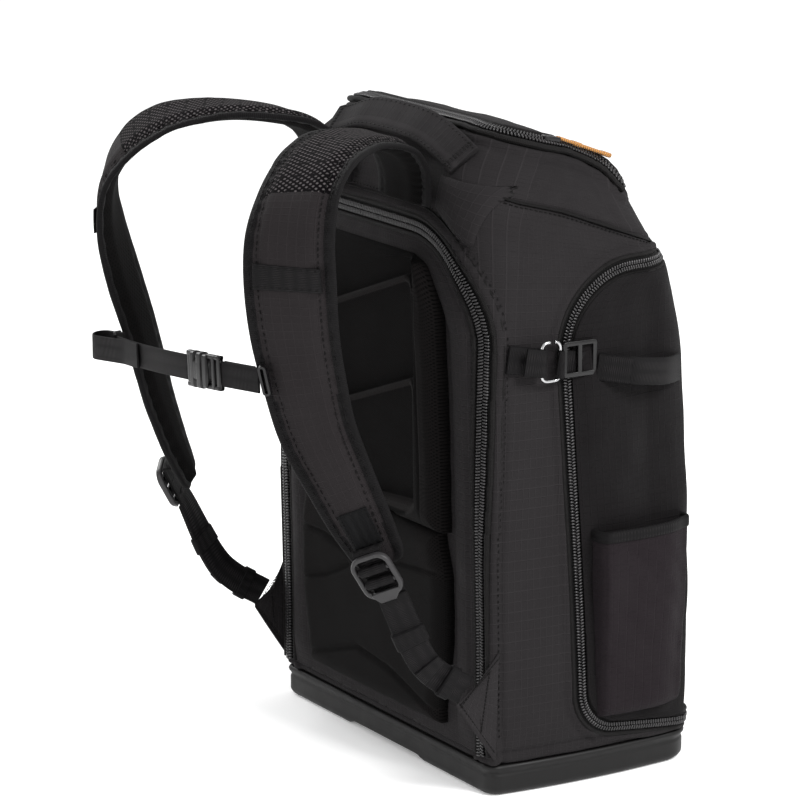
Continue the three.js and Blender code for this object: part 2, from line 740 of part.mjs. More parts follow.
// Lock and webbing below a strap's tip
const tip = strapFrames.at(-1);
const toGusset = webEnd.clone().sub(tip.middle).normalize();
const lockAlong = tip.along.clone().multiplyScalar(0.6).add(toGusset).normalize();
const webStart = inFrame(strapFrame(0.96), 0, 0, strapThickness / 2 + webThickness / 2);
const lockTop = inFrame(tip, 0, -lockOverlap, strapThickness / 2 + lockThickness / 2 + 11);
const lockMiddle = lockTop.clone().addScaledVector(lockAlong, lockHeight / 2);
const lockFrame = frameOf(lockMiddle, lockAlong, tip.across, lockWidth, lockThickness);
const behindLock = -(lockThickness / 2 + looseGap + webThickness / 2);
const shortWebEnd = inFrame(lockFrame, 0, -lockBar, behindLock);
const shortWeb = ribbon(
  [webStart, inFrame(lockFrame, 0, -lockHeight / 2, behindLock - looseGap / 2), shortWebEnd],
  tip.across,
  lockFrame.across,
  webWidth,
  webThickness,
  5,
);
const lowerStart = inFrame(lockFrame, 0, -lockBar + 2 * sewnGap, behindLock);
const lowerNear = inFrame(lockFrame, 0, lockHeight / 2 + 2, behindLock - looseGap / 2);
const lowerEnd = webEnd.clone().addScaledVector(toGusset, -4 * looseGap);
const lowerMiddle = lowerNear.clone().lerp(lowerEnd, 0.5).add(vector(0, -lowerSag / 4, -lowerSag));
const lowerWeb = ribbon(
  [lowerStart, inFrame(lockFrame, 0, lockHeight / 4, behindLock), lowerNear, lowerMiddle, lowerEnd],
  lockFrame.across,
  webEndAcross,
  webWidth,
  webThickness,
  14,
);
const gussetPlate = loft(
  [
    [webEndLow, webEndHigh],
    [gussetLow, gussetHigh],
  ].map(([low, high]) => {
    const across = high.clone().sub(low).normalize();
    const facing = vector(1, -0.45, 0).normalize();
    const half = gussetThickness / 2;
    return [
      low.clone().addScaledVector(facing, -half),
      high.clone().addScaledVector(facing, -half),
      high.clone().addScaledVector(facing, half),
      low.clone().addScaledVector(facing, half),
    ];
  }),
);

const underGusset = doorPrism(zipHalf + sewnGap).intersect(bodySolid(zipProud + sewnGap));
const anchorGusset = geometryOf(
  solidOf(gussetPlate).subtract(bodySolid(sewnGap)).subtract(underGusset),
);

// Tab between the strap's foot and the corner seam, that narrows down to the back zip
const tabInner = strapSections[0].out * strapSpread + strapWidth / 2 - 4;
const tabOutline = [
  new THREE.Vector2(tabInner, tabHigh - tabWidth / 2),
  new THREE.Vector2(tabInner + tabWidth - 5, tabLow),
  new THREE.Vector2(tabInner + tabWidth, tabLow),
  new THREE.Vector2(tabInner + tabWidth + 3, tabHigh - 6),
  new THREE.Vector2(tabInner, tabHigh),
];
const strapTab = geometryOf(
  skin(sewnGap, sewnGap + tabThickness)
    .intersect(backPrism(tabOutline, doorInside, doorOutside))
    .subtract(doorPrism(zipHalf + sewnGap, 0)),
);

// Sternum strap between the straps' inner edges, bowed away from the back
function strapAtHeight(height) {
  let low = 0.5;
  let high = 1;
  while (high - low > 0.001) {
    const middle = (low + high) / 2;
    if (strapCurve.getPoint(middle).z > height) low = middle;
    else high = middle;
  }
  return strapFrame(low);
}
function ringOn(height) {
  const hold = strapAtHeight(height);
  const edge = hold.width / 2 - ringThickness;
  const middle = inFrame(hold, -edge, 0, (strapThickness + ringDepth) / 2 + sewnGap);
  return { ...hold, middle };
}
const ringFrames = { right: ringOn(sternumRight), left: ringOn(sternumLeft) };
const sternumEnd = (frame, gap) =>
  frame.middle.clone().addScaledVector(frame.across, -(ringThickness / 2 + gap));
const webRight = sternumEnd(ringFrames.right, 1.2 * looseGap);
const webLeft = sternumEnd(ringFrames.left, 3.4 * looseGap).multiply(vector(-1, 1, 1));
const sternumSpan = webRight.x - webLeft.x;
const sternumBow = 0.07 * sternumSpan;
function sternumPoint(share) {
  const point = webLeft.clone().lerp(webRight, (share + 1) / 2);
  const bow = 1 - share * share;
  return point.add(vector(0, -sternumBow * bow, 3 * bow));
}
const buckleShare = [0, 0.5, 1].map((share) => 0.3 + (2 * share * buckleLength) / sternumSpan);
function sternumBand(from, to, width, thickness, out, steps) {
  const points = [];
  for (let i = 0; i <= steps; i += 1) {
    points.push(sternumPoint(mix(from, to, i / steps)).add(vector(0, -out, 0)));
  }
  return ribbon(points, vector(0, 0, 1), vector(0, 0, 1), width, thickness, steps);
}
const clearX = (4 * sewnGap) / sternumSpan;

// A ring that the sternum webbing passes through, on the strap's edge
function sternumRing() {
  const half = ringLength / 2;
  const wide = ringThickness / 2;
  const outline = new THREE.Shape();
  outline.absarc(0, half - wide, wide, 0, Math.PI, false);
  outline.absarc(0, wide - half, wide, Math.PI, 2 * Math.PI, false);
  const eye = new THREE.Path();
  eye.absarc(0, half - wide, wide * 0.4, 0, Math.PI, false);
  eye.absarc(0, wide - half, wide * 0.4, Math.PI, 2 * Math.PI, false);
  outline.holes.push(eye);
  const settings = { depth: ringDepth, bevelEnabled: false, curveSegments: 6 };
  const geometry = new THREE.ExtrudeGeometry(outline, settings);
  geometry.translate(0, 0, -ringDepth / 2);
  return geometry;
}

// Sets a mesh drawn in its own (across, up) plane on a frame whose length runs downwards
function place(mesh, frame, flip) {
  const across = frame.across.clone().multiply(flip);
  const up = frame.along.clone().multiply(flip).negate();
  const turned = new THREE.Matrix4().makeBasis(across, up, across.clone().cross(up));
  mesh.quaternion.setFromRotationMatrix(turned);
  mesh.position.copy(frame.middle).multiply(flip);
}

for (const side of ["right", "left"]) {
  const at = (geometry) => (side === "right" ? geometry : mirrored(geometry));
  addMesh("shoulder_strap_" + side, at(sweep(strapFrames, padSection)), ripstop);
  addMesh("strap_band_" + side, at(strapBand(0.572, 0.604, 0.94, looseGap)), webbing);
  addMesh("strap_tab_" + side, at(strapTab), webbing);
  addMesh("short_web_" + side, at(shortWeb), webbing);
  addMesh("lower_web_" + side, at(lowerWeb), webbing);
  addMesh("anchor_gusset_" + side, at(anchorGusset), ripstop);
  const ring = addMesh("sternum_ring_" + side, sternumRing(), blackPlastic);
  const lock = addMesh("ladder_lock_" + side, ladderLock(), greyPlastic);
  const flip = side === "right" ? vector(1, 1, 1) : vector(-1, 1, 1);
  place(lock, lockFrame, flip);
  place(ring, ringFrames[side], flip);
}

const sternumWebbing = (from, to, out, steps) =>
  sternumBand(from, to, sternumWeb, webThickness, out, steps);
const buckleHalf = (from, to) => sternumBand(from, to, buckleWidth, buckleThickness, 0, 3);
const tailLift = webThickness + 2 * sewnGap;
addMesh("sternum_web_right", sternumWebbing(buckleShare[2] + clearX, 1, 0, 6), webbing);
addMesh("sternum_web_left", sternumWebbing(-1, buckleShare[0] - clearX, 0, 8), webbing);
addMesh("sternum_tail", sternumWebbing(-0.94, -0.42, tailLift, 8), webbing);
addMesh("buckle_socket", buckleHalf(buckleShare[0], buckleShare[1] - clearX / 2), blackPlastic);
addMesh("buckle_plug", buckleHalf(buckleShare[1] + clearX / 2, buckleShare[2]), blackPlastic);

// Bare label on the right strap, above its tip
const labelMiddle = 0.932;
const labelHalf = (0.5 * labelLength) / strapCurve.getLength();
const labelShare = labelWidth / strapFrame(labelMiddle).width;
addMesh(
  "strap_label",
  strapBand(labelMiddle - labelHalf, labelMiddle + labelHalf, labelShare, sewnGap),
  labelFabric,
);

// Flap outline of the side pocket's zip in (Y, Z): its lower run falls and its back run leans to the front
const pocketFlap = {
  hinge: pocketFront,
  end: pocketBack,
  low: pocketZipBottom,
  high: pocketZipTop,
  lowCorner: 26,
  highCorner: 62,
};
const pocketFall = 0.12;
const pocketLean = 0.05;
function pocketOutline(grow, hingeGrow = grow) {
  return flapOutline(pocketFlap, grow, hingeGrow).map(({ x: z, y }) => {
    const share = THREE.MathUtils.clamp((pocketZipTop - z) / (pocketZipTop - pocketZipBottom), 0, 1);
    const fall = pocketFall * (y - pocketBack) * share;
    const lean = pocketLean * (pocketZipTop - z) * share;
    return new THREE.Vector2(y + lean, z - fall);
  });
}
const pocketZipHalf = pocketZipTape / 2;
const pocketPrism = (grow, hingeGrow) => sidePrism(pocketOutline(grow, hingeGrow));
const pocketZip = skin(sewnGap, pocketZipProud)
  .intersect(pocketPrism(pocketZipHalf, 0))
  .subtract(pocketPrism(-pocketZipHalf, bodyDepth));
addMesh("pocket_zip", geometryOf(pocketZip), zipCoil);
const sideGusset = skin(sewnGap, sewnGap + gussetSkin).intersect(pocketPrism(-pocketZipHalf - sewnGap, 0));
addMesh("side_gusset", geometryOf(sideGusset), ripstop);

// Open pocket on the gusset: its wall stands off the side, further at the rim than at the foot
function pocketRing(level, inset) {
  const share = (level - pocketZipBottom) / (pocketRim - pocketZipBottom);
  const stand = mix(8, pocketMouth, share);
  const wide = onSide(mix(pocketBack, pocketFront, 0.3), level).point.x + stand - inset;
  const narrow = onSide(pocketFront - 16, level).point.x + stand * 0.75 - inset;
  const from = pocketBack + pocketLean * (pocketZipTop - level) + pocketZipTape + inset;
  const to = pocketFront - 6 - inset;
  const inner = 0.4 * bodyWidth;
  const round = 9;
  return [
    vector(inner, from, level),
    vector(wide - round, from, level),
    vector(wide, from + round, level),
    vector(wide + 1, mix(from, to, 0.4), level),
    vector(mix(wide, narrow, 0.45) + 2, mix(from, to, 0.7), level),
    vector(narrow, to - round, level),
    vector(narrow - round, to, level),
    vector(inner, to, level),
  ];
}
const pocketFoot = pocketZipBottom + pocketZipTape * 0.5 + 3;
const pocketLevels = [0, 0.08, 0.4, 0.75, 1].map((share) => mix(pocketFoot, pocketRim, share));
const pocketOutside = solidOf(loft(pocketLevels.map((level) => pocketRing(level, 0))));
const insideLevels = [pocketFoot + pocketWall, ...pocketLevels.slice(1), pocketRim + 9];
const pocketInside = solidOf(loft(insideLevels.map((level) => pocketRing(level, pocketWall))));
const pocketSolid = pocketOutside.subtract(pocketInside).subtract(bodySolid(gussetSkin + 2 * sewnGap));
addMesh("side_pocket", geometryOf(pocketSolid), ripstop);

// Side strap: a band from the corner seam to a wire hook, a glide and a band on to the front
const sideStrapZ = (y) => sideStrapHeight - sideStrapFall * ((y - pocketBack) / (pocketFront - pocketBack));
function sideBand(from, to, inner, thickness) {
  const half = sideWeb / 2;
  const outline = [
    new THREE.Vector2(from, sideStrapZ(from) - half),
    new THREE.Vector2(to, sideStrapZ(to) - half),
    new THREE.Vector2(to, sideStrapZ(to) + half),
    new THREE.Vector2(from, sideStrapZ(from) + half),
  ];
  return geometryOf(skin(inner, inner + thickness).intersect(sidePrism(outline)));
}
const sideSeam = -0.42 * bodyDepth;
const hookFrom = pocketBack - pocketZipTape * 0.5 - hookSpan;
const hookTo = hookFrom + hookSpan;
const glideTo = hookTo + sewnGap + glideLength;
addMesh("side_strap_back", sideBand(sideSeam, hookFrom - sewnGap, sewnGap, webThickness), webbing);
const roundSection = Array.from({ length: 6 }, (_, i) => [
  Math.cos((Math.PI * i) / 3),
  Math.sin((Math.PI * i) / 3),
]);
function wireHook() {
  const long = hookSpan - hookWire;
  const tall = sideWeb + 3.2 * hookWire;
  const bend = 5;
  const outline = new THREE.Path();
  outline.moveTo(long * 0.45, tall / 2);
  outline.absarc(bend, tall / 2 - bend, bend, Math.PI / 2, Math.PI, false);
  outline.absarc(bend, bend - tall / 2, bend, Math.PI, 1.5 * Math.PI, false);
  outline.absarc(long - bend, bend - tall / 2, bend, 1.5 * Math.PI, 2 * Math.PI, false);
  outline.absarc(long - bend, tall / 2 - bend, bend, 0, Math.PI / 2, false);
  const points = outline.getPoints(3);
  const frames = points.map((p, i) => {
    const before = points[Math.max(i - 1, 0)];
    const after = points[Math.min(i + 1, points.length - 1)];
    const tangent = vector(after.x - before.x, after.y - before.y, 0);
    return frameOf(vector(p.x, p.y, 0), tangent, vector(0, 0, 1), hookWire, hookWire);
  });
  return sweep(frames, roundSection);
}
const sideTurn = new THREE.Group();
sideTurn.rotation.set(Math.PI / 2, Math.PI / 2, 0);
const sideOut = Math.max(...[hookFrom, hookTo, glideTo].map((y) => onSide(y, sideStrapZ(y)).point.x));
const hookX = sideOut + pocketZipProud + 2 * sewnGap + glideThickness / 2;
sideTurn.position.set(hookX, hookFrom + hookWire / 2, sideStrapZ(hookFrom));
group.add(sideTurn);
addMesh("side_hook", wireHook(), steel, sideTurn);
const glideSize = { wide: sideWeb + 6, tall: glideLength, corner: 3, bar: 3.4, windows: 2 };
const glideFrame = barFrame({ ...glideSize, depth: glideThickness });
const glide = addMesh("side_glide", glideFrame, blackPlastic, sideTurn);
glide.rotation.z = -Math.PI / 2;
glide.position.set(hookSpan - hookWire / 2 + sewnGap, 0, -glideThickness / 2);
const frontFrom = glideTo + looseGap + hookWire / 2;
const frontTo = pocketFront - 8;
const frontEnd = onSide(frontTo, sideStrapZ(frontTo));
const bowed = (share, bow) => {
  const y = mix(frontFrom, frontTo, share);
  return vector(hookX + bow, y, sideStrapZ(y));
};
const frontPoints = [
  bowed(0, 0),
  bowed(0.3, sideStrapBow),
  bowed(0.7, 0.6 * sideStrapBow),
  frontEnd.point.clone().addScaledVector(frontEnd.normal, gussetSkin + 2 * looseGap + webThickness / 2),
];
addMesh(
  "side_strap_front",
  ribbon(frontPoints, vector(0, 0, 1), vector(0, 0, 1), sideWeb, webThickness, 10),
  webbing,
);

export default group;
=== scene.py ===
import json
import math

import bmesh
import bpy
from mathutils import Matrix, Vector, noise
from mathutils.bvhtree import BVHTree
from mathutils.kdtree import KDTree

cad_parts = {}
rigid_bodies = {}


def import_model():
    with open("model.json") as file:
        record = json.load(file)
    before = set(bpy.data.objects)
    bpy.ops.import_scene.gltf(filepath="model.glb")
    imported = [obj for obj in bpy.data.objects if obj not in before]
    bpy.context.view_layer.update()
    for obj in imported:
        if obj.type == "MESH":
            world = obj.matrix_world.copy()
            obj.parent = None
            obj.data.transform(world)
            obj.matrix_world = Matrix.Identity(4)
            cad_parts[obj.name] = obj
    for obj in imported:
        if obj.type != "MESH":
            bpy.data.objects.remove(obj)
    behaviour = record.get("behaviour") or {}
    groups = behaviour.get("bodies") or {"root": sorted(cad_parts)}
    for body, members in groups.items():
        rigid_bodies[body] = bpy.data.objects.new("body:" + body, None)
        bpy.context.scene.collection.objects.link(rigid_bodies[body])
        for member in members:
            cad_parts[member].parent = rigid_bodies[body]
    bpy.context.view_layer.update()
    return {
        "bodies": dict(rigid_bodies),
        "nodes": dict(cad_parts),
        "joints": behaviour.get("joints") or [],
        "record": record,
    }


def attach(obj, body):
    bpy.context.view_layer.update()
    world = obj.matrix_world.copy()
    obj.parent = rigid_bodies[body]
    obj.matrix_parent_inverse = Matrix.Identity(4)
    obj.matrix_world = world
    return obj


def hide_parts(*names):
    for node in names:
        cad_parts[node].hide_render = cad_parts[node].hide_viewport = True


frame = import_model()
scene = bpy.context.scene
scene.view_settings.view_transform = "Standard"
mm = 0.001

# Camera, floor and studio light
studio = {
    "cameraPlace": (2.4417, -1.5602, 0.9503),
    "cameraTilt": 76.7,
    "cameraTurn": 58.7,
    "lens": 171.4,
    "floor": 14.0,
    "air": 0.85,
    "floorGlow": 0.14,
    "keyPlace": (2.2, 0.6, 2.3),
    "keyPower": 105,
    "keySize": 1.1,
    "sidePlace": (0.6, -2.6, 1.1),
    "sidePower": 16,
    "sideSize": 1.4,
    "rimPlace": (-2.2, -0.6, 1.7),
    "rimPower": 30,
    "rimSize": 1.0,
}

camera = bpy.data.objects.new("photoCamera", bpy.data.cameras.new("photoCamera"))
camera.location = studio["cameraPlace"]
camera.rotation_euler = (math.radians(studio["cameraTilt"]), 0, math.radians(studio["cameraTurn"]))
camera.data.lens = studio["lens"]
scene.collection.objects.link(camera)
scene.camera = camera


def addLight(name, place, power, size, target=(0, 0, 0.25)):
    light = bpy.data.lights.new(name, "AREA")
    light.energy = power
    light.size = size
    lamp = bpy.data.objects.new(name, light)
    lamp.location = place
    lamp.rotation_euler = (Vector(target) - Vector(place)).to_track_quat("-Z", "Y").to_euler()
    scene.collection.objects.link(lamp)


for lamp in ("key", "side", "rim"):
    addLight(lamp + "Light", studio[lamp + "Place"], studio[lamp + "Power"], studio[lamp + "Size"])

air = bpy.data.worlds.new("paleStudio")
air.use_nodes = True
air.node_tree.nodes["Background"].inputs["Color"].default_value = (1, 1, 1, 1)
air.node_tree.nodes["Background"].inputs["Strength"].default_value = studio["air"]
scene.world = air


# Node materials. Cloth reads its piece's own UV map, laid out in metres.
def tone(red, green, blue):
    channels = []
    for value in (red, green, blue):
        share = value / 255
        channels.append(share / 12.92 if share <= 0.04045 else ((share + 0.055) / 1.055) ** 2.4)
    return (*channels, 1)


class Finish:
    def __init__(self, name, roughness, **sockets):
        self.material = bpy.data.materials.new(name)
        self.material.use_nodes = True
        self.tree = self.material.node_tree
        self.shader = self.tree.nodes["Principled BSDF"]
        self.set(self.shader, Roughness=roughness, **sockets)
        coords = self.tree.nodes.new("ShaderNodeTexCoord")
        self.uv = coords.outputs["UV"]
        self.place = coords.outputs["Object"]

    def set(self, node, **values):
        for socket, value in values.items():
            node.inputs[socket.replace("_", " ")].default_value = value

    def add(self, kind, inputs=(), **values):
        node = self.tree.nodes.new("ShaderNode" + kind)
        self.set(node, **values)
        for socket, source in inputs:
            self.tree.links.new(node.inputs[socket], source)
        return node

    def turned(self, source, degrees):
        node = self.add("Mapping", [("Vector", source)])
        node.inputs["Rotation"].default_value = (0, 0, math.radians(degrees))
        return node.outputs["Vector"]

    def bands(self, source, axis, pitch, warp=0):
        node = self.add("TexWave", [("Vector", source)], Scale=math.pi / (10 * pitch))
        node.bands_direction = axis
        self.set(node, Distortion=warp, Detail=1)
        return node.outputs["Fac"]

    def speckle(self, source, size, detail=3):
        node = self.add("TexNoise", [("Vector", source)], Scale=1 / size, Detail=detail)
        return node.outputs["Fac"]

    def sums(self, operation, first, second):
        node = self.add("Math")
        node.operation = operation
        for socket, value in zip(node.inputs, (first, second)):
            if isinstance(value, (int, float)):
                socket.default_value = value
            else:
                self.tree.links.new(socket, value)
        return node.outputs["Value"]

    def spread(self, source, low, high, toLow=0.0, toHigh=1.0):
        node = self.add("MapRange", [("Value", source)])
        self.set(node, From_Min=low, From_Max=high, To_Min=toLow, To_Max=toHigh)
        return node.outputs["Result"]

    def blend(self, share, first, second):
        node = self.tree.nodes.new("ShaderNodeMix")
        node.data_type = "RGBA"
        self.tree.links.new(node.inputs["Factor"], share)
        for socket, value in ((node.inputs[6], first), (node.inputs[7], second)):
            if isinstance(value, tuple):
                socket.default_value = value
            else:
                self.tree.links.new(socket, value)
        return node.outputs[2]

    def colour(self, source):
        self.tree.links.new(self.shader.inputs["Base Color"], source)

    def rough(self, source):
        self.tree.links.new(self.shader.inputs["Roughness"], source)

    def bump(self, height, depth):
        node = self.add("Bump", [("Height", height)], Distance=depth, Strength=1.0)
        self.tree.links.new(self.shader.inputs["Normal"], node.outputs["Normal"])
        return self.material


def ripstopCloth(name, dark, light, pitch=5.4 * mm, line=0.3, warp=0.3):
    cloth = Finish(name, 0.78, Sheen_Weight=0.01, Sheen_Roughness=0.5, Specular_IOR_Level=0.1)
    wide = cloth.bands(cloth.uv, "X", pitch)
    tall = cloth.bands(cloth.uv, "Y", pitch * 0.9)
    ripLines = cloth.sums("MAXIMUM", cloth.spread(wide, 0.955, 1), cloth.spread(tall, 0.94, 1))
    threads = cloth.sums(
        "MULTIPLY", cloth.bands(cloth.uv, "X", 0.9 * mm, warp), cloth.bands(cloth.uv, "Y", 0.9 * mm, warp)
    )
    worn = cloth.speckle(cloth.uv, 30 * mm, 4)
    shade = cloth.sums("MULTIPLY_ADD", worn, 0.7)
    ground = cloth.blend(cloth.spread(shade, 0.3, 0.7), dark, light)
    lighter = cloth.sums("MULTIPLY", ripLines, line)
    brighter = tuple(min(value * 1.9, 1) for value in light[:3]) + (1,)
    cloth.colour(cloth.blend(lighter, ground, brighter))
    cloth.rough(cloth.spread(worn, 0.3, 0.7, 0.74, 0.9))
    height = cloth.sums("ADD", cloth.sums("MULTIPLY", threads, 0.35), ripLines)
    fine = cloth.sums("MULTIPLY", cloth.speckle(cloth.uv, 2.2 * mm, 2), 0.8)
    return cloth.bump(cloth.sums("ADD", height, fine), 0.35 * mm)


def airMesh(name, dark, light, pitch, depth, rows=0, lozenges=False):
    # Dark holes in a lighter ground, or light lozenges on a dark one; rows of slits where asked
    cloth = Finish(name, 0.85, Sheen_Weight=0.005, Sheen_Roughness=0.5, Specular_IOR_Level=0.05)
    slanted = cloth.turned(cloth.uv, 52 if lozenges else 45)
    crossings = cloth.sums(
        "MULTIPLY", cloth.bands(slanted, "X", pitch), cloth.bands(slanted, "Y", pitch)
    )
    if lozenges:
        height = cloth.spread(crossings, 0.22, 0.6)
    else:
        height = cloth.sums("SUBTRACT", 1.0, cloth.spread(crossings, 0.3, 0.62))
    if rows:
        across = cloth.spread(cloth.bands(cloth.uv, "Y", rows), 0.9, 0.98)
        along = cloth.spread(cloth.bands(cloth.uv, "X", rows * 0.82), 0.35, 0.5)
        slits = cloth.sums("MULTIPLY", across, along)
        height = cloth.sums("MULTIPLY", height, cloth.sums("SUBTRACT", 1.0, slits))
    cloth.colour(cloth.blend(height, dark, light))
    return cloth.bump(height, depth)


def wovenBand(name, dark, light, pitch=1.7 * mm):
    band = Finish(name, 0.66, Specular_IOR_Level=0.13)
    ribs = band.bands(band.uv, "X", pitch * 1.3)
    picks = band.bands(band.uv, "Y", pitch, 0.4)
    weave = band.sums("MULTIPLY", band.sums("ADD", ribs, 0.25), picks)
    worn = band.speckle(band.uv, 9 * mm)
    band.colour(band.blend(band.spread(band.sums("MULTIPLY", weave, worn), 0.05, 0.6), dark, light))
    return band.bump(weave, 0.35 * mm)


def mouldedPlastic(name, dark, light, roughness, grain=0.4 * mm, depth=0.04 * mm, shine=0.35):
    plastic = Finish(name, roughness, Specular_IOR_Level=shine)
    cloud = plastic.speckle(plastic.place, 18 * mm)
    pebble = plastic.speckle(plastic.place, grain, 2)
    plastic.colour(plastic.blend(plastic.spread(cloud, 0.3, 0.7), dark, light))
    plastic.rough(plastic.spread(cloud, 0.3, 0.7, roughness - 0.06, roughness + 0.08))
    return plastic.bump(pebble, depth)


bagCloth = ripstopCloth("bagRipstop", tone(10, 9, 9), tone(29, 27, 28), line=0.42)
anchorCloth = ripstopCloth("anchorRipstop", tone(17, 15, 16), tone(34, 32, 33), line=0.4)
strapCloth = ripstopCloth("strapRipstop", tone(14, 12, 13), tone(29, 26, 27))
pocketCloth = ripstopCloth("pocketCloth", tone(16, 12, 14), tone(24, 19, 22), line=0.1)
gussetCloth = ripstopCloth("gussetCloth", tone(6, 5, 6), tone(14, 12, 13), line=0.12)
# Trough of the back pad: near-black mesh, painted shade where the trough lies in shadow
padTroughShadeMesh = airMesh("padTroughPaintedShadeMesh", tone(1, 1, 1), tone(4, 3, 3), 1.5 * mm, 0.25 * mm)
# Rib lips of the back pad: lighter mesh, a painted highlight where each rib's lip catches the light
padRibHighlightMesh = airMesh("padRibPaintedHighlightMesh", tone(5, 5, 5), tone(24, 22, 22), 1.5 * mm, 0.25 * mm)
lumbarCloth = airMesh("lumbarStretchCloth", tone(5, 4, 4), tone(13, 12, 12), 1.3 * mm, 0.2 * mm)
padBorder = airMesh("padHoleMesh", tone(1, 1, 1), tone(16, 14, 14), 1.9 * mm, 0.4 * mm)
strapMesh = airMesh("strapOpenMesh", tone(4, 3, 4), tone(74, 70, 71), 3.0 * mm, 0.9 * mm, 13 * mm,
                    lozenges=True)
strapLining = airMesh("strapLining", tone(2, 2, 2), tone(11, 10, 10), 2.4 * mm, 0.4 * mm)
bindingTape = wovenBand("bindingTape", tone(4, 3, 4), tone(18, 16, 17), 1.2 * mm)
webTape = wovenBand("webbingWeave", tone(4, 3, 4), tone(25, 23, 24), 1.3 * mm)
zipTapeCloth = wovenBand("zipTapeWeave", tone(3, 3, 3), tone(15, 14, 14), 1.0 * mm)
zipCoil = mouldedPlastic("zipCoilNylon", tone(22, 21, 22), tone(40, 38, 39), 0.32, shine=0.5)
trayFoam = mouldedPlastic("baseMoulding", tone(6, 5, 5), tone(10, 9, 9), 0.5, 0.6 * mm, 0.06 * mm, 0.25)
blackPlastic = mouldedPlastic("blackAcetal", tone(6, 5, 6), tone(12, 11, 12), 0.32, shine=0.35)
greyPlastic = mouldedPlastic("greyAcetal", tone(34, 33, 34), tone(46, 45, 46), 0.38, shine=0.3)
seamThread = wovenBand("seamThread", tone(5, 4, 4), tone(20, 18, 18), 0.8 * mm)
pipingCloth = wovenBand("pipingCloth", tone(8, 7, 7), tone(27, 25, 25), 1.1 * mm)
labelCloth = wovenBand("labelWeave", tone(2, 2, 3), tone(10, 9, 11), 0.9 * mm)
amberCord = Finish("amberCordTwist", 0.55, Sheen_Weight=0.2)
amberTwist = amberCord.bands(amberCord.turned(amberCord.uv, 35), "Y", 1.6 * mm)
amberCord.colour(amberCord.blend(amberTwist, tone(96, 58, 10), tone(196, 132, 44)))
amberCord = amberCord.bump(amberTwist, 0.5 * mm)
brightSteel = Finish("brightSteelWire", 0.2, Metallic=1.0)
steelCloud = brightSteel.speckle(brightSteel.place, 4 * mm)
brightSteel.colour(brightSteel.blend(steelCloud, tone(150, 150, 152), tone(190, 190, 190)))
brightSteel.rough(brightSteel.spread(steelCloud, 0.3, 0.7, 0.14, 0.28))
brightSteel = brightSteel.bump(steelCloud, 0.03 * mm)
floorPaint = Finish("floorPaint", 0.9, Emission_Color=(1, 1, 1, 1), Emission_Strength=studio["floorGlow"])
floorCloud = floorPaint.speckle(floorPaint.place, 0.8)
floorPaint.colour(floorPaint.blend(floorCloud, tone(250, 250, 250), tone(254, 254, 254)))
floorPaint = floorPaint.bump(floorCloud, 0.02 * mm)
print("materials done")


# Small modelling helpers
def clamp(value, low=0.0, high=1.0):
    return max(low, min(high, value))


def mix(first, second, share):
    return first + (second - first) * share


def smooth(low, high, value):
    share = clamp((value - low) / (high - low))
    return share * share * (3 - 2 * share)


def hump(distance, width):
    return math.exp(-((distance / width) ** 2))


def throughRows(rows, t):
    # Smooth value between the rows of a table, t from 0 to 1
    place = clamp(t) * (len(rows) - 1)
    k = min(int(place), len(rows) - 2)
    s = place - k
    before, here, there, after = (rows[clamp(k + i, 0, len(rows) - 1)] for i in (-1, 0, 1, 2))
    values = []
    for a, b, c, d in zip(before, here, there, after):
        values.append(
            b + 0.5 * s * (c - a + s * (2 * a - 5 * b + 4 * c - d + s * (3 * (b - c) + d - a)))
        )
    return values


def clothGrid(columns, rows, place, size=(1.0, 1.0), finish=None):
    # place turns (u, v) into a point; finish gives a face's material from (u, v)
    mesh = bmesh.new()
    bmesh.ops.create_grid(mesh, x_segments=columns, y_segments=rows, size=0.5)
    layer = mesh.loops.layers.uv.new("cloth")
    for face in mesh.faces:
        for loop in face.loops:
            co = loop.vert.co
            loop[layer].uv = ((co.x + 0.5) * size[0], (co.y + 0.5) * size[1])
        if finish:
            middle = face.calc_center_median()
            face.material_index = finish(middle.x + 0.5, middle.y + 0.5)
    for vert in mesh.verts:
        vert.co = place(vert.co.x + 0.5, vert.co.y + 0.5)
    return mesh


def weld(mesh, distance=1e-6):
    bmesh.ops.remove_doubles(mesh, verts=mesh.verts, dist=distance)
    bmesh.ops.recalc_face_normals(mesh, faces=mesh.faces)


def mirrorMesh(mesh):
    twin = mesh.copy()
    bmesh.ops.scale(twin, vec=(-1, 1, 1), verts=twin.verts)
    bmesh.ops.reverse_faces(twin, faces=twin.faces)
    return twin


def addPiece(mesh, name, materials, nodes=(), flat=False):
    data = bpy.data.meshes.new(name)
    for face in mesh.faces:
        face.smooth = not flat
    mesh.to_mesh(data)
    mesh.free()
    for material in materials if isinstance(materials, (list, tuple)) else [materials]:
        data.materials.append(material)
    piece = bpy.data.objects.new(name, data)
    scene.collection.objects.link(piece)
    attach(piece, "root")
    if nodes:
        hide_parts(*nodes)
    return piece


def pathTree(points):
    tree = KDTree(len(points))
    for i, point in enumerate(points):
        tree.insert(point, i)
    tree.balance()
    return tree


def resample(points, step):
    # Evenly spaced points along a polyline
    spaced = [points[0]]
    left = step
    for a, b in zip(points, points[1:]):
        run = (b - a).length
        at = left
        while at <= run:
            spaced.append(a.lerp(b, at / run))
            at += step
        left = at - run
    if (spaced[-1] - points[-1]).length > step * 0.3:
        spaced.append(points[-1])
    return spaced


def heading(spots, i):
    # Direction of a polyline at one of its points
    return (spots[min(i + 1, len(spots) - 1)] - spots[max(i - 1, 0)]).normalized()


def closedHeading(spots, i):
    # The same where the last point repeats the first
    count = len(spots) - 1
    return (spots[(i + 1) % count] - spots[(i - 1) % count]).normalized()


def framesAlong(places):
    # Frames (point, along, across, normal) through pairs of a point and its normal
    spots = [spot for spot, _ in places]
    frames = []
    for i, (spot, normal) in enumerate(places):
        along = heading(spots, i)
        across = along.cross(normal).normalized()
        frames.append((spot, along, across, across.cross(along)))
    return frames


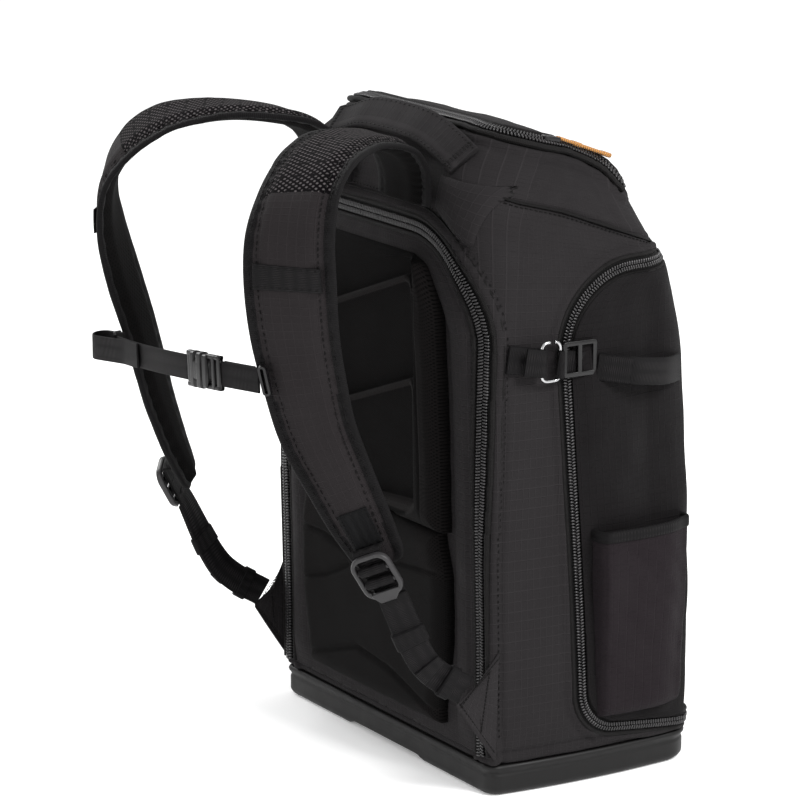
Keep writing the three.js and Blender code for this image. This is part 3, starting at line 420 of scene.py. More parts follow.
def surfaceFrames(project, outline, step):
    # Frames for a line drawn on the bag's surface
    return framesAlong([project(*point) for point in resample([Vector(p) for p in outline], step)])


def sweep(frames, section, closed=True):
    # Strip through frames, a section of (across, up) offsets; a closed one gets its ends filled
    columns = len(section) if closed else len(section) - 1
    lengths = [0.0]
    for a, b in zip(frames, frames[1:]):
        lengths.append(lengths[-1] + (b[0] - a[0]).length)
    girth = [0.0]
    for a, b in zip(section, section[1:] + section[:1]):
        girth.append(girth[-1] + math.dist(a, b))

    def place(u, v):
        point, _, across, normal = frames[round(v * (len(frames) - 1))]
        x, y = section[round(u * columns) % len(section)]
        return point + across * x + normal * y

    mesh = clothGrid(columns, len(frames) - 1, place, (girth[columns], lengths[-1]))
    if closed:
        bmesh.ops.remove_doubles(mesh, verts=mesh.verts, dist=1e-7)
        rims = [edge for edge in mesh.edges if edge.is_boundary]
        bmesh.ops.holes_fill(mesh, edges=rims, sides=0)
        bmesh.ops.recalc_face_normals(mesh, faces=mesh.faces)
    return mesh


def joinMeshes(meshes):
    joined = bmesh.new()
    for mesh in meshes:
        data = bpy.data.meshes.new("joining")
        mesh.to_mesh(data)
        mesh.free()
        joined.from_mesh(data)
        bpy.data.meshes.remove(data)
    return joined


def rowOfBlocks(frames, size, shift=(0, 0, 0), bevel=0.0, lean=0.0, every=1):
    # A small bevelled block at each frame; size is (across, along, up)
    mesh = bmesh.new()
    for point, along, across, normal in frames[::every]:
        turn = Matrix((across, along, normal)).transposed().to_4x4()
        spot = point + across * shift[0] + along * shift[1] + normal * shift[2]
        scale = Matrix.Diagonal((*size, 1))
        spin = Matrix.Rotation(lean, 4, "Z")
        bmesh.ops.create_cube(mesh, size=1, matrix=Matrix.Translation(spot) @ turn @ spin @ scale)
    if bevel:
        bmesh.ops.bevel(
            mesh, geom=mesh.edges[:], offset=bevel, affect="EDGES", segments=1, profile=0.5, material=-1
        )
    bmesh.ops.recalc_face_normals(mesh, faces=mesh.faces)
    return mesh


def roundRect(width, height, corner, steps=3):
    points = []
    for k, (x, y) in enumerate(((1, -1), (1, 1), (-1, 1), (-1, -1))):
        for i in range(steps + 1):
            angle = math.radians(90 * (k - 1) + 90 * i / steps)
            across = x * (width / 2 - corner) + corner * math.cos(angle)
            up = y * (height / 2 - corner) + corner * math.sin(angle)
            points.append((across, up))
    return points


floor = bmesh.new()
bmesh.ops.create_grid(floor, x_segments=1, y_segments=1, size=studio["floor"] / 2)
floorData = bpy.data.meshes.new("floor")
floor.to_mesh(floorData)
floor.free()
floorData.materials.append(floorPaint)
floorPiece = bpy.data.objects.new("floor", floorData)
scene.collection.objects.link(floorPiece)

# Bag body: rows of (height, half width, back, front, fall, rise, back corner, front corner), as
# shares of the bag's size
bag = {
    "width": 314 * mm,
    "height": 494 * mm,
    "depth": 184 * mm,
    "topFall": 0.37,
    "topDome": 15 * mm,
    "backCorner": 14 * mm,
    "frontCorner": 26 * mm,
    "sidePuff": 4 * mm,
    "floor": 10.5 * mm,
    "ledge": 24.5 * mm,
    "traySeat": 3.4 * mm,
    "wrinkle": 1.1 * mm,
    "rows": [
        (0.053, 0.99, -0.985, 1.06, 0, 0, 0.8, 1),
        (0.12, 1.015, -0.99, 1.07, 0, 0, 0.9, 1),
        (0.24, 1.02, -0.995, 1.07, 0, 0, 0.9, 1),
        (0.37, 1.015, -1.01, 1.06, 0, 0, 1, 1.1),
        (0.5, 1.0, -1.025, 1.03, 0, 0, 1.4, 1.2),
        (0.62, 0.99, -1.05, 1.0, 0, 0, 1.8, 1.3),
        (0.72, 0.975, -1.08, 0.96, 0.1, 0, 2.1, 1.4),
        (0.8, 0.955, -1.095, 0.92, 0.35, 0, 2.5, 1.6),
        (0.85, 0.92, -1.08, 0.88, 0.65, 0.1, 2.8, 1.8),
        (0.901, 0.86, -1, 0.84, 0.85, 0.35, 3.3, 2.1),
        (0.944, 0.785, -0.83, 0.77, 0.92, 0.6, 3.3, 2.1),
        (0.972, 0.7, -0.66, 0.67, 0.97, 0.85, 2.8, 1.8),
        (0.984, 0.5, -0.4, 0.46, 1, 0.97, 1.9, 1.2),
        (0.987, 0.26, -0.2, 0.24, 1, 1, 0.9, 0.6),
    ],
}
cornerShare = 0.03
runShares = (0.155, 0.285, 0.155, 0.285)


def bagRing(row, around, inset=0.0):
    # Point on one level's outline; around runs from the back right corner over the right side
    height, halfWidth, back, front, fall, rise, edge, corner = row
    half = halfWidth * bag["width"] / 2 - inset
    low = back * bag["depth"] / 2 + inset
    high = front * bag["depth"] / 2 - inset
    small = max(bag["backCorner"] * edge, 2 * mm)
    large = max(bag["frontCorner"] * corner, 4 * mm)
    corners = (
        (half - small, low + small, small, -90),
        (half - large, high - large, large, 0),
        (large - half, high - large, large, 90),
        (small - half, low + small, small, 180),
    )
    left = around % 1.0
    for k, (x, y, radius, start) in enumerate(corners):
        if left < cornerShare:
            angle = math.radians(start + 90 * left / cornerShare)
            point = Vector((x + radius * math.cos(angle), y + radius * math.sin(angle), 0))
            break
        left -= cornerShare
        if left < runShares[k]:
            share = left / runShares[k]
            nextX, nextY, nextRadius = corners[(k + 1) % 4][:3]
            angle = math.radians(start + 90)
            out = Vector((math.cos(angle), math.sin(angle), 0))
            here = Vector((x, y, 0)) + out * radius
            there = Vector((nextX, nextY, 0)) + out * nextRadius
            puff = 0 if k == 3 else bag["sidePuff"] * 4 * share * (1 - share) * (1 - rise * rise)
            point = here.lerp(there, share) + out * puff
            break
        left -= runShares[k]
    dome = rise * bag["topDome"] * (point.y / (bag["depth"] / 2)) ** 2
    point.z = height * bag["height"] - fall * bag["topFall"] * point.y - dome
    return point


# Shares of the body's grid: bottom and crown, and the floor and ledge within the bottom
bodyBottom = 0.05
bodyTop = 0.9
floorShare = 0.4
ledgeShare = 0.9


def bagPoint(around, up):
    foot = bag["rows"][0]
    if up <= bodyBottom:
        share = up / bodyBottom
        point = bagRing(foot, around, bag["traySeat"])
        if share < floorShare:
            point *= share / floorShare
            point.z = bag["floor"]
        else:
            rise = (share - floorShare) / (ledgeShare - floorShare)
            point.z = mix(bag["floor"], bag["ledge"], rise) if share < ledgeShare else bag["ledge"]
        return point
    if up <= bodyTop:
        return bagRing(throughRows(bag["rows"], (up - bodyBottom) / (bodyTop - bodyBottom)), around)
    share = (up - bodyTop) / (1 - bodyTop)
    rim = bagRing(bag["rows"][-1], around)
    crown = Vector((0, 0, bag["rows"][-1][0] * bag["height"] + 0.2 * mm))
    middle = rim.lerp(crown, share)
    middle.z = mix(rim.z, crown.z, share * (2 - share))
    return middle


bagMesh = clothGrid(420, 190, bagPoint, (0.98, 0.62))
weld(bagMesh, 1e-5)
bagSurface = BVHTree.FromBMesh(bagMesh)


def strike(start, way, fallback):
    # Where a ray meets the bag, or the nearest place on it where the ray misses
    place, normal, _, _ = bagSurface.ray_cast(Vector(start), Vector(way))
    if place is None:
        place, normal, _, _ = bagSurface.find_nearest(Vector(fallback))
    return place, normal


def onBack(x, z):
    return strike((x, -1, z), (0, 1, 0), (x, -0.092, z))


def onTop(x, y):
    return strike((x, y, 1), (0, 0, -1), (x, y, 0.49))


def onSide(y, z):
    return strike((1, y, z), (-1, 0, 0), (0.157, y, z))


# Zip lines: square at the hinge and rounded at the free end, in (across, along)
def flapLine(hinge, end, low, high, lowCorner, highCorner):
    way = 1 if end > hinge else -1
    points = [(low, hinge)]
    for corner, x, side in ((lowCorner, low + lowCorner, -1), (highCorner, high - highCorner, 1)):
        for i in range(13):
            angle = math.pi / 2 * (1 - i / 12 if side < 0 else i / 12)
            points.append((x + side * corner * math.sin(angle), end - way * corner * (1 - math.cos(angle))))
    points.append((high, hinge))
    return points


zips = {
    "backHinge": 32 * mm,
    "backTop": 425 * mm,
    "backHalf": 145 * mm,
    "backCorner": 82 * mm,
    "lidHinge": 48 * mm,
    "lidEnd": -58 * mm,
    "lidHalf": 113 * mm,
    "lidCorner": 34 * mm,
    "tape": 13 * mm,
    "pocketTape": 11 * mm,
    "toothPitch": 2.4 * mm,
    "toothSize": (4.3 * mm, 1.5 * mm, 2.4 * mm),
    "pocketToothSize": (3.3 * mm, 1.5 * mm, 2.0 * mm),
    "toothLean": 0.22,
    "backWelt": (7.6 * mm, 4.4 * mm),  # reach from the zip's middle, thickness
    "lidWelt": (7.8 * mm, 4.8 * mm),
    "pocketWelt": (6.6 * mm, 3.6 * mm),
    "outerSeam": 15.5 * mm,
    "lidLift": 2.2 * mm,
    "pocketLine": [
        (0.1015, 0.0313), (0.0135, 0.0419), (0.0101, 0.0425), (0.0067, 0.0436), (0.0034, 0.0451),
        (0.0002, 0.0469), (-0.0029, 0.0492), (-0.0056, 0.0517), (-0.0081, 0.0545), (-0.0103, 0.0576),
        (-0.0121, 0.0608), (-0.0135, 0.0642), (-0.0145, 0.0676), (-0.015, 0.071), (-0.0295, 0.333),
        (-0.0291, 0.3411), (-0.0276, 0.349), (-0.0251, 0.3567), (-0.0216, 0.3639), (-0.0171, 0.3706),
        (-0.0118, 0.3767), (-0.0057, 0.3821), (0.001, 0.3866), (0.0083, 0.3902), (0.016, 0.3929),
        (0.0239, 0.3945), (0.032, 0.395), (0.084, 0.395),
    ],
}
backLine = flapLine(zips["backHinge"], zips["backTop"], -zips["backHalf"], zips["backHalf"],
                    zips["backCorner"], zips["backCorner"])
lidLine = flapLine(zips["lidHinge"], zips["lidEnd"], -zips["lidHalf"], zips["lidHalf"],
                   zips["lidCorner"], zips["lidCorner"])
step = zips["toothPitch"]
backFrames = surfaceFrames(onBack, backLine, step)
lidFrames = surfaceFrames(onTop, lidLine, step)
pocketFrames = surfaceFrames(onSide, zips["pocketLine"], step)
backTree, lidTree, pocketTree = (
    pathTree([spot[0] for spot in run]) for run in (backFrames, lidFrames, pocketFrames)
)


def insideFlap(line, x, y):
    # Whether a place lies inside a zip's outline
    inside = False
    for (ax, ay), (bx, by) in zip(line, line[1:] + line[:1]):
        if (ay > y) != (by > y) and x < ax + (bx - ax) * (y - ay) / (by - ay):
            inside = not inside
    return inside


# Seams on the body: lines in (Y, Z) on the right side, mirrored to the left
seams = {
    "sideTop": [
        (-0.079, 0.4565), (-0.058, 0.449), (-0.023, 0.44), (0.004, 0.43), (0.05, 0.413), (0.085, 0.4),
    ],
    "sideFoot": [(-0.085, 0.034), (0.0, 0.034), (0.085, 0.034)],
    "depth": 1.9 * mm,
    "width": 1.7 * mm,
    "zipRidge": (2.4 * mm, 10.5 * mm, 3.2 * mm),  # height, distance from the zip, width
    "zipGroove": (1.3 * mm, 16 * mm, 1.5 * mm),
    "zipSink": 1.2 * mm,
    "pocketRidge": (1.8 * mm, 9 * mm, 2.8 * mm),
    "pocketGroove": (0.9 * mm, 13.5 * mm, 1.3 * mm),
    "pocketSink": 1.0 * mm,
    "beside": (0.8 * mm, 5 * mm, 3 * mm),
}


def sideLine(outline):
    return [f[0] for f in surfaceFrames(onSide, outline, 2 * mm)]


rightSeams = sideLine(seams["sideTop"]) + sideLine(seams["sideFoot"])
seamTree = pathTree(rightSeams + [Vector((-p.x, p.y, p.z)) for p in rightSeams])
pocketPlaces = zips["pocketLine"] + [(0.12, 0.395), (0.12, 0.0313)]


def ridge(gap, height, distance, width):
    return height * hump(gap - distance, width)


def bagOffset(point, normal):
    # How far the fabric stands off its smooth form
    onBackFace = point.y < -0.05 and normal.y < -0.2
    backGap = backTree.find(point)[2]
    lidGap = lidTree.find(point)[2]
    lift = 0.0
    inDoor = onBackFace and insideFlap(backLine, point.x, point.z)
    inLid = point.z > 0.4 and normal.z > 0.3 and insideFlap(lidLine, point.x, point.y)
    if inDoor or inLid:
        return -3 * mm * smooth(3 * mm, 8 * mm, backGap if inDoor else lidGap)
    for gap in (backGap, lidGap):
        lift += ridge(gap, *seams["zipRidge"]) - ridge(gap, *seams["zipGroove"])
        lift -= seams["zipSink"] * (1 - smooth(3 * mm, 8 * mm, gap))
    if point.x > 0.1:
        gap = pocketTree.find(point)[2]
        if insideFlap(pocketPlaces, point.y, point.z) and gap > 3 * mm:
            return -1.6 * mm
        lift += ridge(gap, *seams["pocketRidge"]) - ridge(gap, *seams["pocketGroove"])
        lift -= seams["pocketSink"] * (1 - smooth(3 * mm, 7 * mm, gap))
    gap = seamTree.find(point)[2]
    lift -= seams["depth"] * hump(gap, seams["width"])
    lift += ridge(gap, *seams["beside"])
    pucker = noise.noise(Vector((point.x * 60, point.y * 60, point.z * 95)))
    near = min(gap, backGap, lidGap)
    lift += 0.7 * mm * pucker * hump(near - 14 * mm, 14 * mm)
    soft = noise.noise(Vector((point.x * 13, point.y * 15, point.z * 9 + 4)))
    fold = noise.noise(Vector((point.x * 26 + 7, point.y * 34, point.z * 17)))
    free = smooth(0.03, 0.07, point.z)
    return lift + bag["wrinkle"] * free * (soft * 1.3 + fold * 0.45)


bagMesh.normal_update()
moves = [(vert, vert.co + vert.normal * bagOffset(vert.co, vert.normal)) for vert in bagMesh.verts]
for vert, spot in moves:
    vert.co = spot
addPiece(bagMesh, "bagBody", bagCloth, ["main_shell"])
print("bag body done")


# Base tray: a moulded cup with a rolled lip, two feet and a notch between them
tray = {
    "height": 24 * mm,
    "chamfer": 6 * mm,
    "wall": 3 * mm,
    "roll": 1.1 * mm,
    "footStep": 5 * mm,
    "notchHalf": 52 * mm,
    "notchDepth": 34 * mm,
    "seat": 11 * mm,
    "underShare": 0.3,  # shares of the grid for the underside and the wall
    "wallShare": 0.85,
}


def trayNotch(point, low, high):
    # 1 in the notch between the feet, 0 outside it
    half = tray["notchHalf"]
    return (1 - smooth(half - 4 * mm, half + 7 * mm, abs(point.x))) * (1 - smooth(low, high, point.y))


def trayPoint(around, up):
    foot = bag["rows"][0]
    edge = foot[2] * bag["depth"] / 2
    if up < tray["underShare"]:
        share = up / tray["underShare"]
        point = bagRing(foot, around, tray["chamfer"]) * min(share * 1.15, 1)
        depth = edge + tray["notchDepth"]
        point.z = tray["footStep"] * trayNotch(point, depth - 3 * mm, depth + 3 * mm)
        return point
    height = tray["height"]
    if up < tray["wallShare"]:
        level = (up - tray["underShare"]) / (tray["wallShare"] - tray["underShare"]) * height
        inset = tray["chamfer"] * (1 - math.sqrt(1 - (1 - min(level / tray["chamfer"], 1)) ** 2))
        inset -= tray["roll"] * hump(level - height + 2.2 * mm, 2 * mm)
        inset += 0.7 * mm * hump(level - height + 6.5 * mm, 1.4 * mm)
        point = bagRing(foot, around, inset)
        point.z = max(level, tray["footStep"] * trayNotch(point, edge + 20 * mm, edge + 34 * mm))
        return point
    share = (up - tray["wallShare"]) / (1 - tray["wallShare"])
    point = bagRing(foot, around, tray["wall"] * smooth(0, 0.4, share))
    lip = 0.4 * mm * math.sin(math.pi * min(share / 0.4, 1))
    point.z = mix(height, tray["seat"], smooth(0.3, 1, share)) + lip
    return point


trayMesh = clothGrid(300, 60, trayPoint, (0.98, 0.1))
weld(trayMesh, 1e-5)
addPiece(trayMesh, "baseTray", trayFoam, ["base_tray"])


# Zips: tape with two rows of interlocking teeth
def zipMesh(frames, tape, tooth):
    half = tape / 2
    section = [
        (-half, -0.4 * mm), (half, -0.4 * mm), (half, 0.5 * mm), (tooth[0] + 0.7 * mm, 0.9 * mm),
        (0.5 * mm, 0.9 * mm), (0, 0.5 * mm), (-0.5 * mm, 0.9 * mm), (-tooth[0] - 0.7 * mm, 0.9 * mm),
        (-half, 0.5 * mm),
    ]
    parts = [sweep(frames, section)]
    for side in (1, -1):
        row = rowOfBlocks(
            frames,
            tooth,
            (side * (tooth[0] / 2 + 0.1 * mm), side * zips["toothPitch"] / 4, 0.9 * mm + tooth[2] / 2),
            bevel=0.5 * mm,
            lean=side * zips["toothLean"],
        )
        for face in row.faces:
            face.material_index = 1
        parts.append(row)
    return joinMeshes(parts)


def weltMesh(frames, side, thickness, rise=0.4 * mm):
    # A covered cord along one side of a zip
    radius = thickness / 2
    turns = [math.pi * k / 6 for k in range(12)]
    section = [(side + radius * math.cos(turn), rise + radius * math.sin(turn)) for turn in turns]
    return sweep(frames, section)


def besideLine(frames, side):
    # The line at a distance from another, laid back on the bag
    return framesAlong([bagSurface.find_nearest(spot + across * side)[:2] for spot, _, across, _ in frames])


zipLooks = [zipTapeCloth, zipCoil]
raisedLid = [(p + n * zips["lidLift"], a, c, n) for p, a, c, n in lidFrames]
zipRuns = (
    ("back", backFrames, zips["tape"], zips["toothSize"]),
    ("lid", raisedLid, zips["tape"], zips["toothSize"]),
    ("pocket", pocketFrames, zips["pocketTape"], zips["pocketToothSize"]),
)
for name, run, tape, tooth in zipRuns:
    addPiece(zipMesh(run, tape, tooth), name + "Zip", zipLooks, [name + "_zip"])
for name, run, _, _ in zipRuns:
    reach, thickness = zips[name + "Welt"]
    welts = joinMeshes([weltMesh(run, side, thickness) for side in (reach, -reach)])
    addPiece(welts, name + "ZipWelts", pipingCloth)

outerSeam = besideLine(backFrames, -zips["outerSeam"])[6:-6]
outerRows = rowOfBlocks(outerSeam, (0.6 * mm, 2.0 * mm, 0.6 * mm), (-3 * mm, 0, 1.0 * mm), every=2)
addPiece(weltMesh(outerSeam, 0, 1.6 * mm, 0.1 * mm), "backZipSeam", pipingCloth)
addPiece(outerRows, "backZipSeamStitches", seamThread)
sidePiping = weltMesh(surfaceFrames(onSide, seams["sideTop"], 3 * mm), 0, 2.4 * mm, 0.1 * mm)
sideRows = rowOfBlocks(
    surfaceFrames(onSide, seams["sideTop"], 4 * mm), (0.6 * mm, 2.6 * mm, 0.6 * mm), (3.6 * mm, 0, 0.9 * mm)
)
for name, shape, look in (("sideSeam", sidePiping, pipingCloth), ("sideSeamStitches", sideRows, seamThread)):
    twin = mirrorMesh(shape)
    addPiece(shape, name + "Right", look)
    addPiece(twin, name + "Left", look)
print("zips done")


# Back panel inside its zip, with a padded rim
panel = {"clear": 6.8 * mm, "rimFrom": 7 * mm, "rimWide": 27 * mm, "rimLift": 4.5 * mm, "rest": 0.6 * mm}


def cornered(half, radius, inset):
    return half - radius + math.sqrt(max(radius**2 - max(radius - inset, 0) ** 2, 0))


def doorPoint(u, v):
    low = zips["backHinge"] + 1 * mm
    high = zips["backTop"] - panel["clear"]
    z = mix(low, high, v)
    wide, corner = zips["backHalf"] - panel["clear"], zips["backCorner"] - panel["clear"]
    half = cornered(wide, corner, high - z + 0.2 * mm)
    x = half * (2 * u - 1)
    point, normal = onBack(x, z)
    gap = backTree.find(point)[2]
    share = clamp((gap - panel["rimFrom"]) / panel["rimWide"])
    lift = panel["rest"] + panel["rimLift"] * math.sin(math.pi * share) ** 0.7 * smooth(0.03, 0.06, z)
    lift -= 0.8 * mm * hump(gap - 12 * mm, 1.2 * mm) if z > 0.06 else 0
    lift += 0.5 * mm * noise.noise(Vector((x * 40, z * 60, 3))) * share
    return point + normal * lift


doorMesh = clothGrid(150, 200, doorPoint, (0.277, 0.386))
bmesh.ops.solidify(doorMesh, geom=doorMesh.faces[:], thickness=2.2 * mm)
addPiece(doorMesh, "backPanel", bagCloth, ["back_door"])


# Lid inside its zip
def lidPoint(u, v):
    back = zips["lidEnd"] + panel["clear"]
    y = mix(back, zips["lidHinge"], v)
    wide, corner = zips["lidHalf"] - panel["clear"], zips["lidCorner"] - panel["clear"]
    half = cornered(wide, corner, y - back + 0.2 * mm)
    x = half * (2 * u - 1)
    point, normal = onTop(x, y)
    gap = lidTree.find(point)[2]
    lift = 0.6 * mm + 2.2 * mm * hump(gap - 11 * mm, 3.2 * mm) - 0.8 * mm * hump(gap - 16 * mm, 1.4 * mm)
    lift += 1.6 * mm * smooth(18 * mm, 50 * mm, gap) * (1 - smooth(0.02, 0.048, y))
    lift += 0.9 * mm * noise.noise(Vector((x * 18, y * 26, 1)))
    return point + normal * lift


lidMesh = clothGrid(120, 70, lidPoint, (0.212, 0.1))
bmesh.ops.solidify(lidMesh, geom=lidMesh.faces[:], thickness=2.2 * mm)
addPiece(lidMesh, "lidPanel", bagCloth, ["lid"])
print("back panel and lid done")

# Back pad: a trough down its middle, stepped in slanting ribs, and a border of open mesh
pad = {
    "bottom": 196 * mm,
    "top": 405 * mm,
    "half": 105 * mm,
    "corner": 52 * mm,
    "depth": 17 * mm,
    "edge": 3 * mm,
    "round": 12 * mm,
    "troughHalf": 76 * mm,
    "troughDepth": 12 * mm,
    "ribRise": 52 / 152,
    "ribs": (0.05, 0.43, 0.81),
    "ribBead": 1.9 * mm,
    # Height of the band under each rib that gets the painted highlight
    "ribHighlightBand": 5 * mm,
    "borderSeam": 85 * mm,
    "rest": 0.6 * mm,
}
ribLevels = [mix(pad["bottom"], pad["top"], share) for share in pad["ribs"]]
ribPitch = ribLevels[1] - ribLevels[0]


def roundedEdge(distance, radius):
    return math.sqrt(1 - (1 - clamp(distance / radius)) ** 2)


def padHalf(level):
    return cornered(pad["half"], pad["corner"], pad["top"] - level + pad["edge"])


def troughHalf(level):
    share = (level - pad["bottom"]) / (pad["top"] - pad["bottom"])
    return pad["troughHalf"] * smooth(-0.04, 0.05, share) * mix(0.96, 1.06, smooth(0.1, 0.75, share))


def padPoint(u, v):
    level = mix(pad["bottom"], pad["top"], v)
    half = padHalf(level)
    x = half * (2 * u - 1)
    edge = min(half - abs(x), level - pad["bottom"], pad["top"] - level)
    full = mix(pad["edge"], pad["depth"], roundedEdge(edge + 0.5 * mm, pad["round"]))
    above = next((rib for rib in ribLevels if rib >= level), pad["top"] + 10 * mm)
    drop = min((above - level) / ribPitch, 1)
    trough = troughHalf(level)
    within = 1 - smooth(trough - 6 * mm, trough + 6 * mm, abs(x))
    thick = full - min(pad["troughDepth"], full - pad["edge"]) * within * mix(0.4, 1, drop)
    thick += pad["ribBead"] * hump(above - level - 2.5 * mm, 2.2 * mm) * within
    thick -= 1.4 * mm * hump(abs(x) - pad["borderSeam"], 1.2 * mm) * smooth(0, 15 * mm, edge)
    thick += 0.5 * mm * noise.noise(Vector((x * 30, level * 30, 8)))
    near = 1 - smooth(68.4 * mm, 103 * mm, abs(x))
    inside = smooth(0, 32 * mm, level - pad["bottom"]) * smooth(0, 26 * mm, pad["top"] - level)
    z = level + pad["ribRise"] * x * near * inside
    return Vector((x, onBack(0, z)[0].y - pad["rest"] - thick, z))


# Face materials: open mesh border (1), side pads (2), and in the trough painted shade (0) with a painted
# highlight band just under each rib (3)
def padLook(u, v):
    level = mix(pad["bottom"], pad["top"], v)
    x = padHalf(level) * (2 * u - 1)
    if abs(x) > pad["borderSeam"]:
        return 1
    if abs(x) > troughHalf(level) + 5 * mm:
        return 2
    # Just under each rib: painted highlight; elsewhere in the trough: painted shade
    return 3 if any(0 < rib - level < pad["ribHighlightBand"] for rib in ribLevels) else 0


def closeBack(mesh):
    # Skirt from the rim of a front-facing sheet to the panel behind it
    rims = [edge for edge in mesh.edges if edge.is_boundary]
    grown = bmesh.ops.extrude_edge_only(mesh, edges=rims)
    for vert in (item for item in grown["geom"] if isinstance(item, bmesh.types.BMVert)):
        vert.co.y = onBack(clamp(vert.co.x, -0.12, 0.12), vert.co.z)[0].y + 0.5 * mm
    bmesh.ops.holes_fill(mesh, edges=[edge for edge in mesh.edges if edge.is_boundary], sides=0)
    bmesh.ops.recalc_face_normals(mesh, faces=mesh.faces)


padMesh = clothGrid(170, 210, padPoint, (0.21, 0.209), padLook)
closeBack(padMesh)
padLooks = [padTroughShadeMesh, padBorder, lumbarCloth, padRibHighlightMesh]
backPad = addPiece(padMesh, "backPad", padLooks, ["back_pad"])

# Lumbar pad with its seams, as lines in (X, Z)
lumbar = {
    "bottom": 44 * mm,
    "top": 195.4 * mm,
    "half": 107 * mm,
    "depth": 14 * mm,
    "round": 14 * mm,
    "seamDepth": 3.2 * mm,
    "seamWidth": 2.4 * mm,
    "seams": [
        [(-0.107, 0.157), (-0.066, 0.158), (-0.02, 0.149), (0.02, 0.153), (0.047, 0.16), (0.107, 0.165)],
        [(-0.107, 0.112), (-0.062, 0.125), (-0.028, 0.141)],
        [(-0.107, 0.05), (-0.06, 0.063), (-0.016, 0.077), (0.03, 0.072), (0.107, 0.05)],
    ],
}
lumbarTree = pathTree(
    [p for line in lumbar["seams"] for p in resample([Vector((x, 0, z)) for x, z in line], 1.5 * mm)]
)


def lumbarPoint(u, v):
    level = mix(lumbar["bottom"], lumbar["top"], v)
    half = lumbar["half"] * mix(0.9, 1, smooth(0, 0.5, v)) * mix(1, 0.92, smooth(0.75, 1, v))
    x = half * (2 * u - 1)
    edge = min(half - abs(x), level - lumbar["bottom"], lumbar["top"] - level)
    thick = mix(pad["edge"], lumbar["depth"], roundedEdge(edge + 0.5 * mm, lumbar["round"]))
    gap = lumbarTree.find(Vector((x, 0, level)))[2]
    thick -= lumbar["seamDepth"] * hump(gap, lumbar["seamWidth"]) * smooth(0, 10 * mm, edge)
    thick += 0.6 * mm * noise.noise(Vector((x * 28, level * 28, 5)))
    return Vector((x, onBack(0, level)[0].y - pad["rest"] - thick, level))


def lumbarLook(u, v):
    return 1 if (u > 0.87 or u < 0.13) and (v > 0.76 or v < 0.08) else 0


lumbarMesh = clothGrid(150, 110, lumbarPoint, (0.214, 0.151), lumbarLook)
closeBack(lumbarMesh)
lumbarPad = addPiece(lumbarMesh, "lumbarPad", [lumbarCloth, padBorder], ["lumbar_pad"])
print("pads done")

# Shoulder straps: rows of (x, y, z, turn in degrees, width) down the right strap's middle
strap = {
    "half": 6 * mm,
    "edgeHalf": 2.4 * mm,
    "binding": 8 * mm,
    "meshFrom": 0.04,
    "meshTo": 0.47,
    "stitch": 4.2 * mm,
    "rows": [
        (0.0568, -0.1064, 0.4436, 0, 0.0718), (0.0574, -0.1071, 0.4609, 0, 0.0718),
        (0.0607, -0.1151, 0.4777, 0, 0.0725), (0.0673, -0.1327, 0.49, 0, 0.0733),
        (0.0805, -0.1619, 0.4965, 1.9, 0.074), (0.0977, -0.1896, 0.4965, 3.8, 0.074),
        (0.1175, -0.2181, 0.4886, 8.2, 0.074), (0.132, -0.24, 0.4708, 17.8, 0.0733),
        (0.1399, -0.2517, 0.4431, 31.7, 0.0718), (0.1393, -0.2517, 0.408, 42.2, 0.0696),
        (0.1333, -0.2444, 0.368, 48, 0.0659), (0.1294, -0.2334, 0.3275, 48, 0.0622),
        (0.13, -0.2239, 0.2944, 48, 0.0592), (0.1366, -0.2115, 0.2623, 47, 0.0548),
        (0.1439, -0.1947, 0.2238, 45.6, 0.0488), (0.1485, -0.1794, 0.1936, 44.2, 0.04),
    ],
}
strapLength = sum(math.dist(a[:3], b[:3]) for a, b in zip(strap["rows"], strap["rows"][1:]))


def strapFrame(t):
    x, y, z, turn, width = throughRows(strap["rows"], t)
    after = Vector(throughRows(strap["rows"], t + 0.003)[:3])
    before = Vector(throughRows(strap["rows"], t - 0.003)[:3])
    along = (after - before).normalized()
    across = Vector((math.cos(math.radians(turn)), math.sin(math.radians(turn)), 0))
    across = (across - along * across.dot(along)).normalized()
    return Vector((x, y, z)), along, across, along.cross(across), width


def strapHeight(gap, outer):
    # Half thickness at a distance from the strap's edge
    if gap < strap["edgeHalf"]:
        return strap["edgeHalf"] * roundedEdge(gap, strap["edgeHalf"])
    rise = smooth(strap["binding"] - 1 * mm, strap["binding"] + 12 * mm, gap)
    groove = 0.9 * mm * hump(gap - strap["binding"], 1.0 * mm)
    if outer:
        groove += 0.6 * mm * hump(gap - strap["binding"] - 5 * mm, 0.9 * mm)
    return mix(strap["edgeHalf"], strap["half"], rise) - groove


def strapPoint(u, v):
    point, along, across, normal, width = strapFrame(v)
    s = -math.cos(2 * math.pi * u)
    outer = u < 0.5
    tip = (1 - v) * strapLength
    foot = v * strapLength
    width *= 1 - 0.45 * (1 - roundedEdge(tip, 16 * mm))
    gap = (1 - abs(s)) * width / 2
    fade = roundedEdge(tip, 5 * mm) * roundedEdge(foot, 4 * mm)
    out = strapHeight(gap, outer) * fade
    length = v * strapLength
    pucker = math.sin(length / (13 * mm) * 2 * math.pi + 1.7 * math.sin(length * 31))
    out += 0.45 * mm * pucker * hump(gap - strap["binding"] - 1 * mm, 5 * mm) * fade
    out += 0.5 * mm * noise.noise(Vector((s * 2.2, length * 24, 3 if outer else 9))) * fade
    return point + across * (s * width / 2) + normal * (out if outer else -out)


def strapLook(u, v):
    s = -math.cos(2 * math.pi * u)
    if (1 - abs(s)) * throughRows(strap["rows"], v)[4] / 2 < strap["binding"]:
        return 1
    if u > 0.5:
        return 3
    return 2 if strap["meshFrom"] < v < strap["meshTo"] else 0


def bothSides(mesh, name, materials, node):
    twin = mirrorMesh(mesh)
    for side, shape in (("right", mesh), ("left", twin)):
        piece = addPiece(shape, name + side.title(), materials, [node + "_" + side] if node else [])


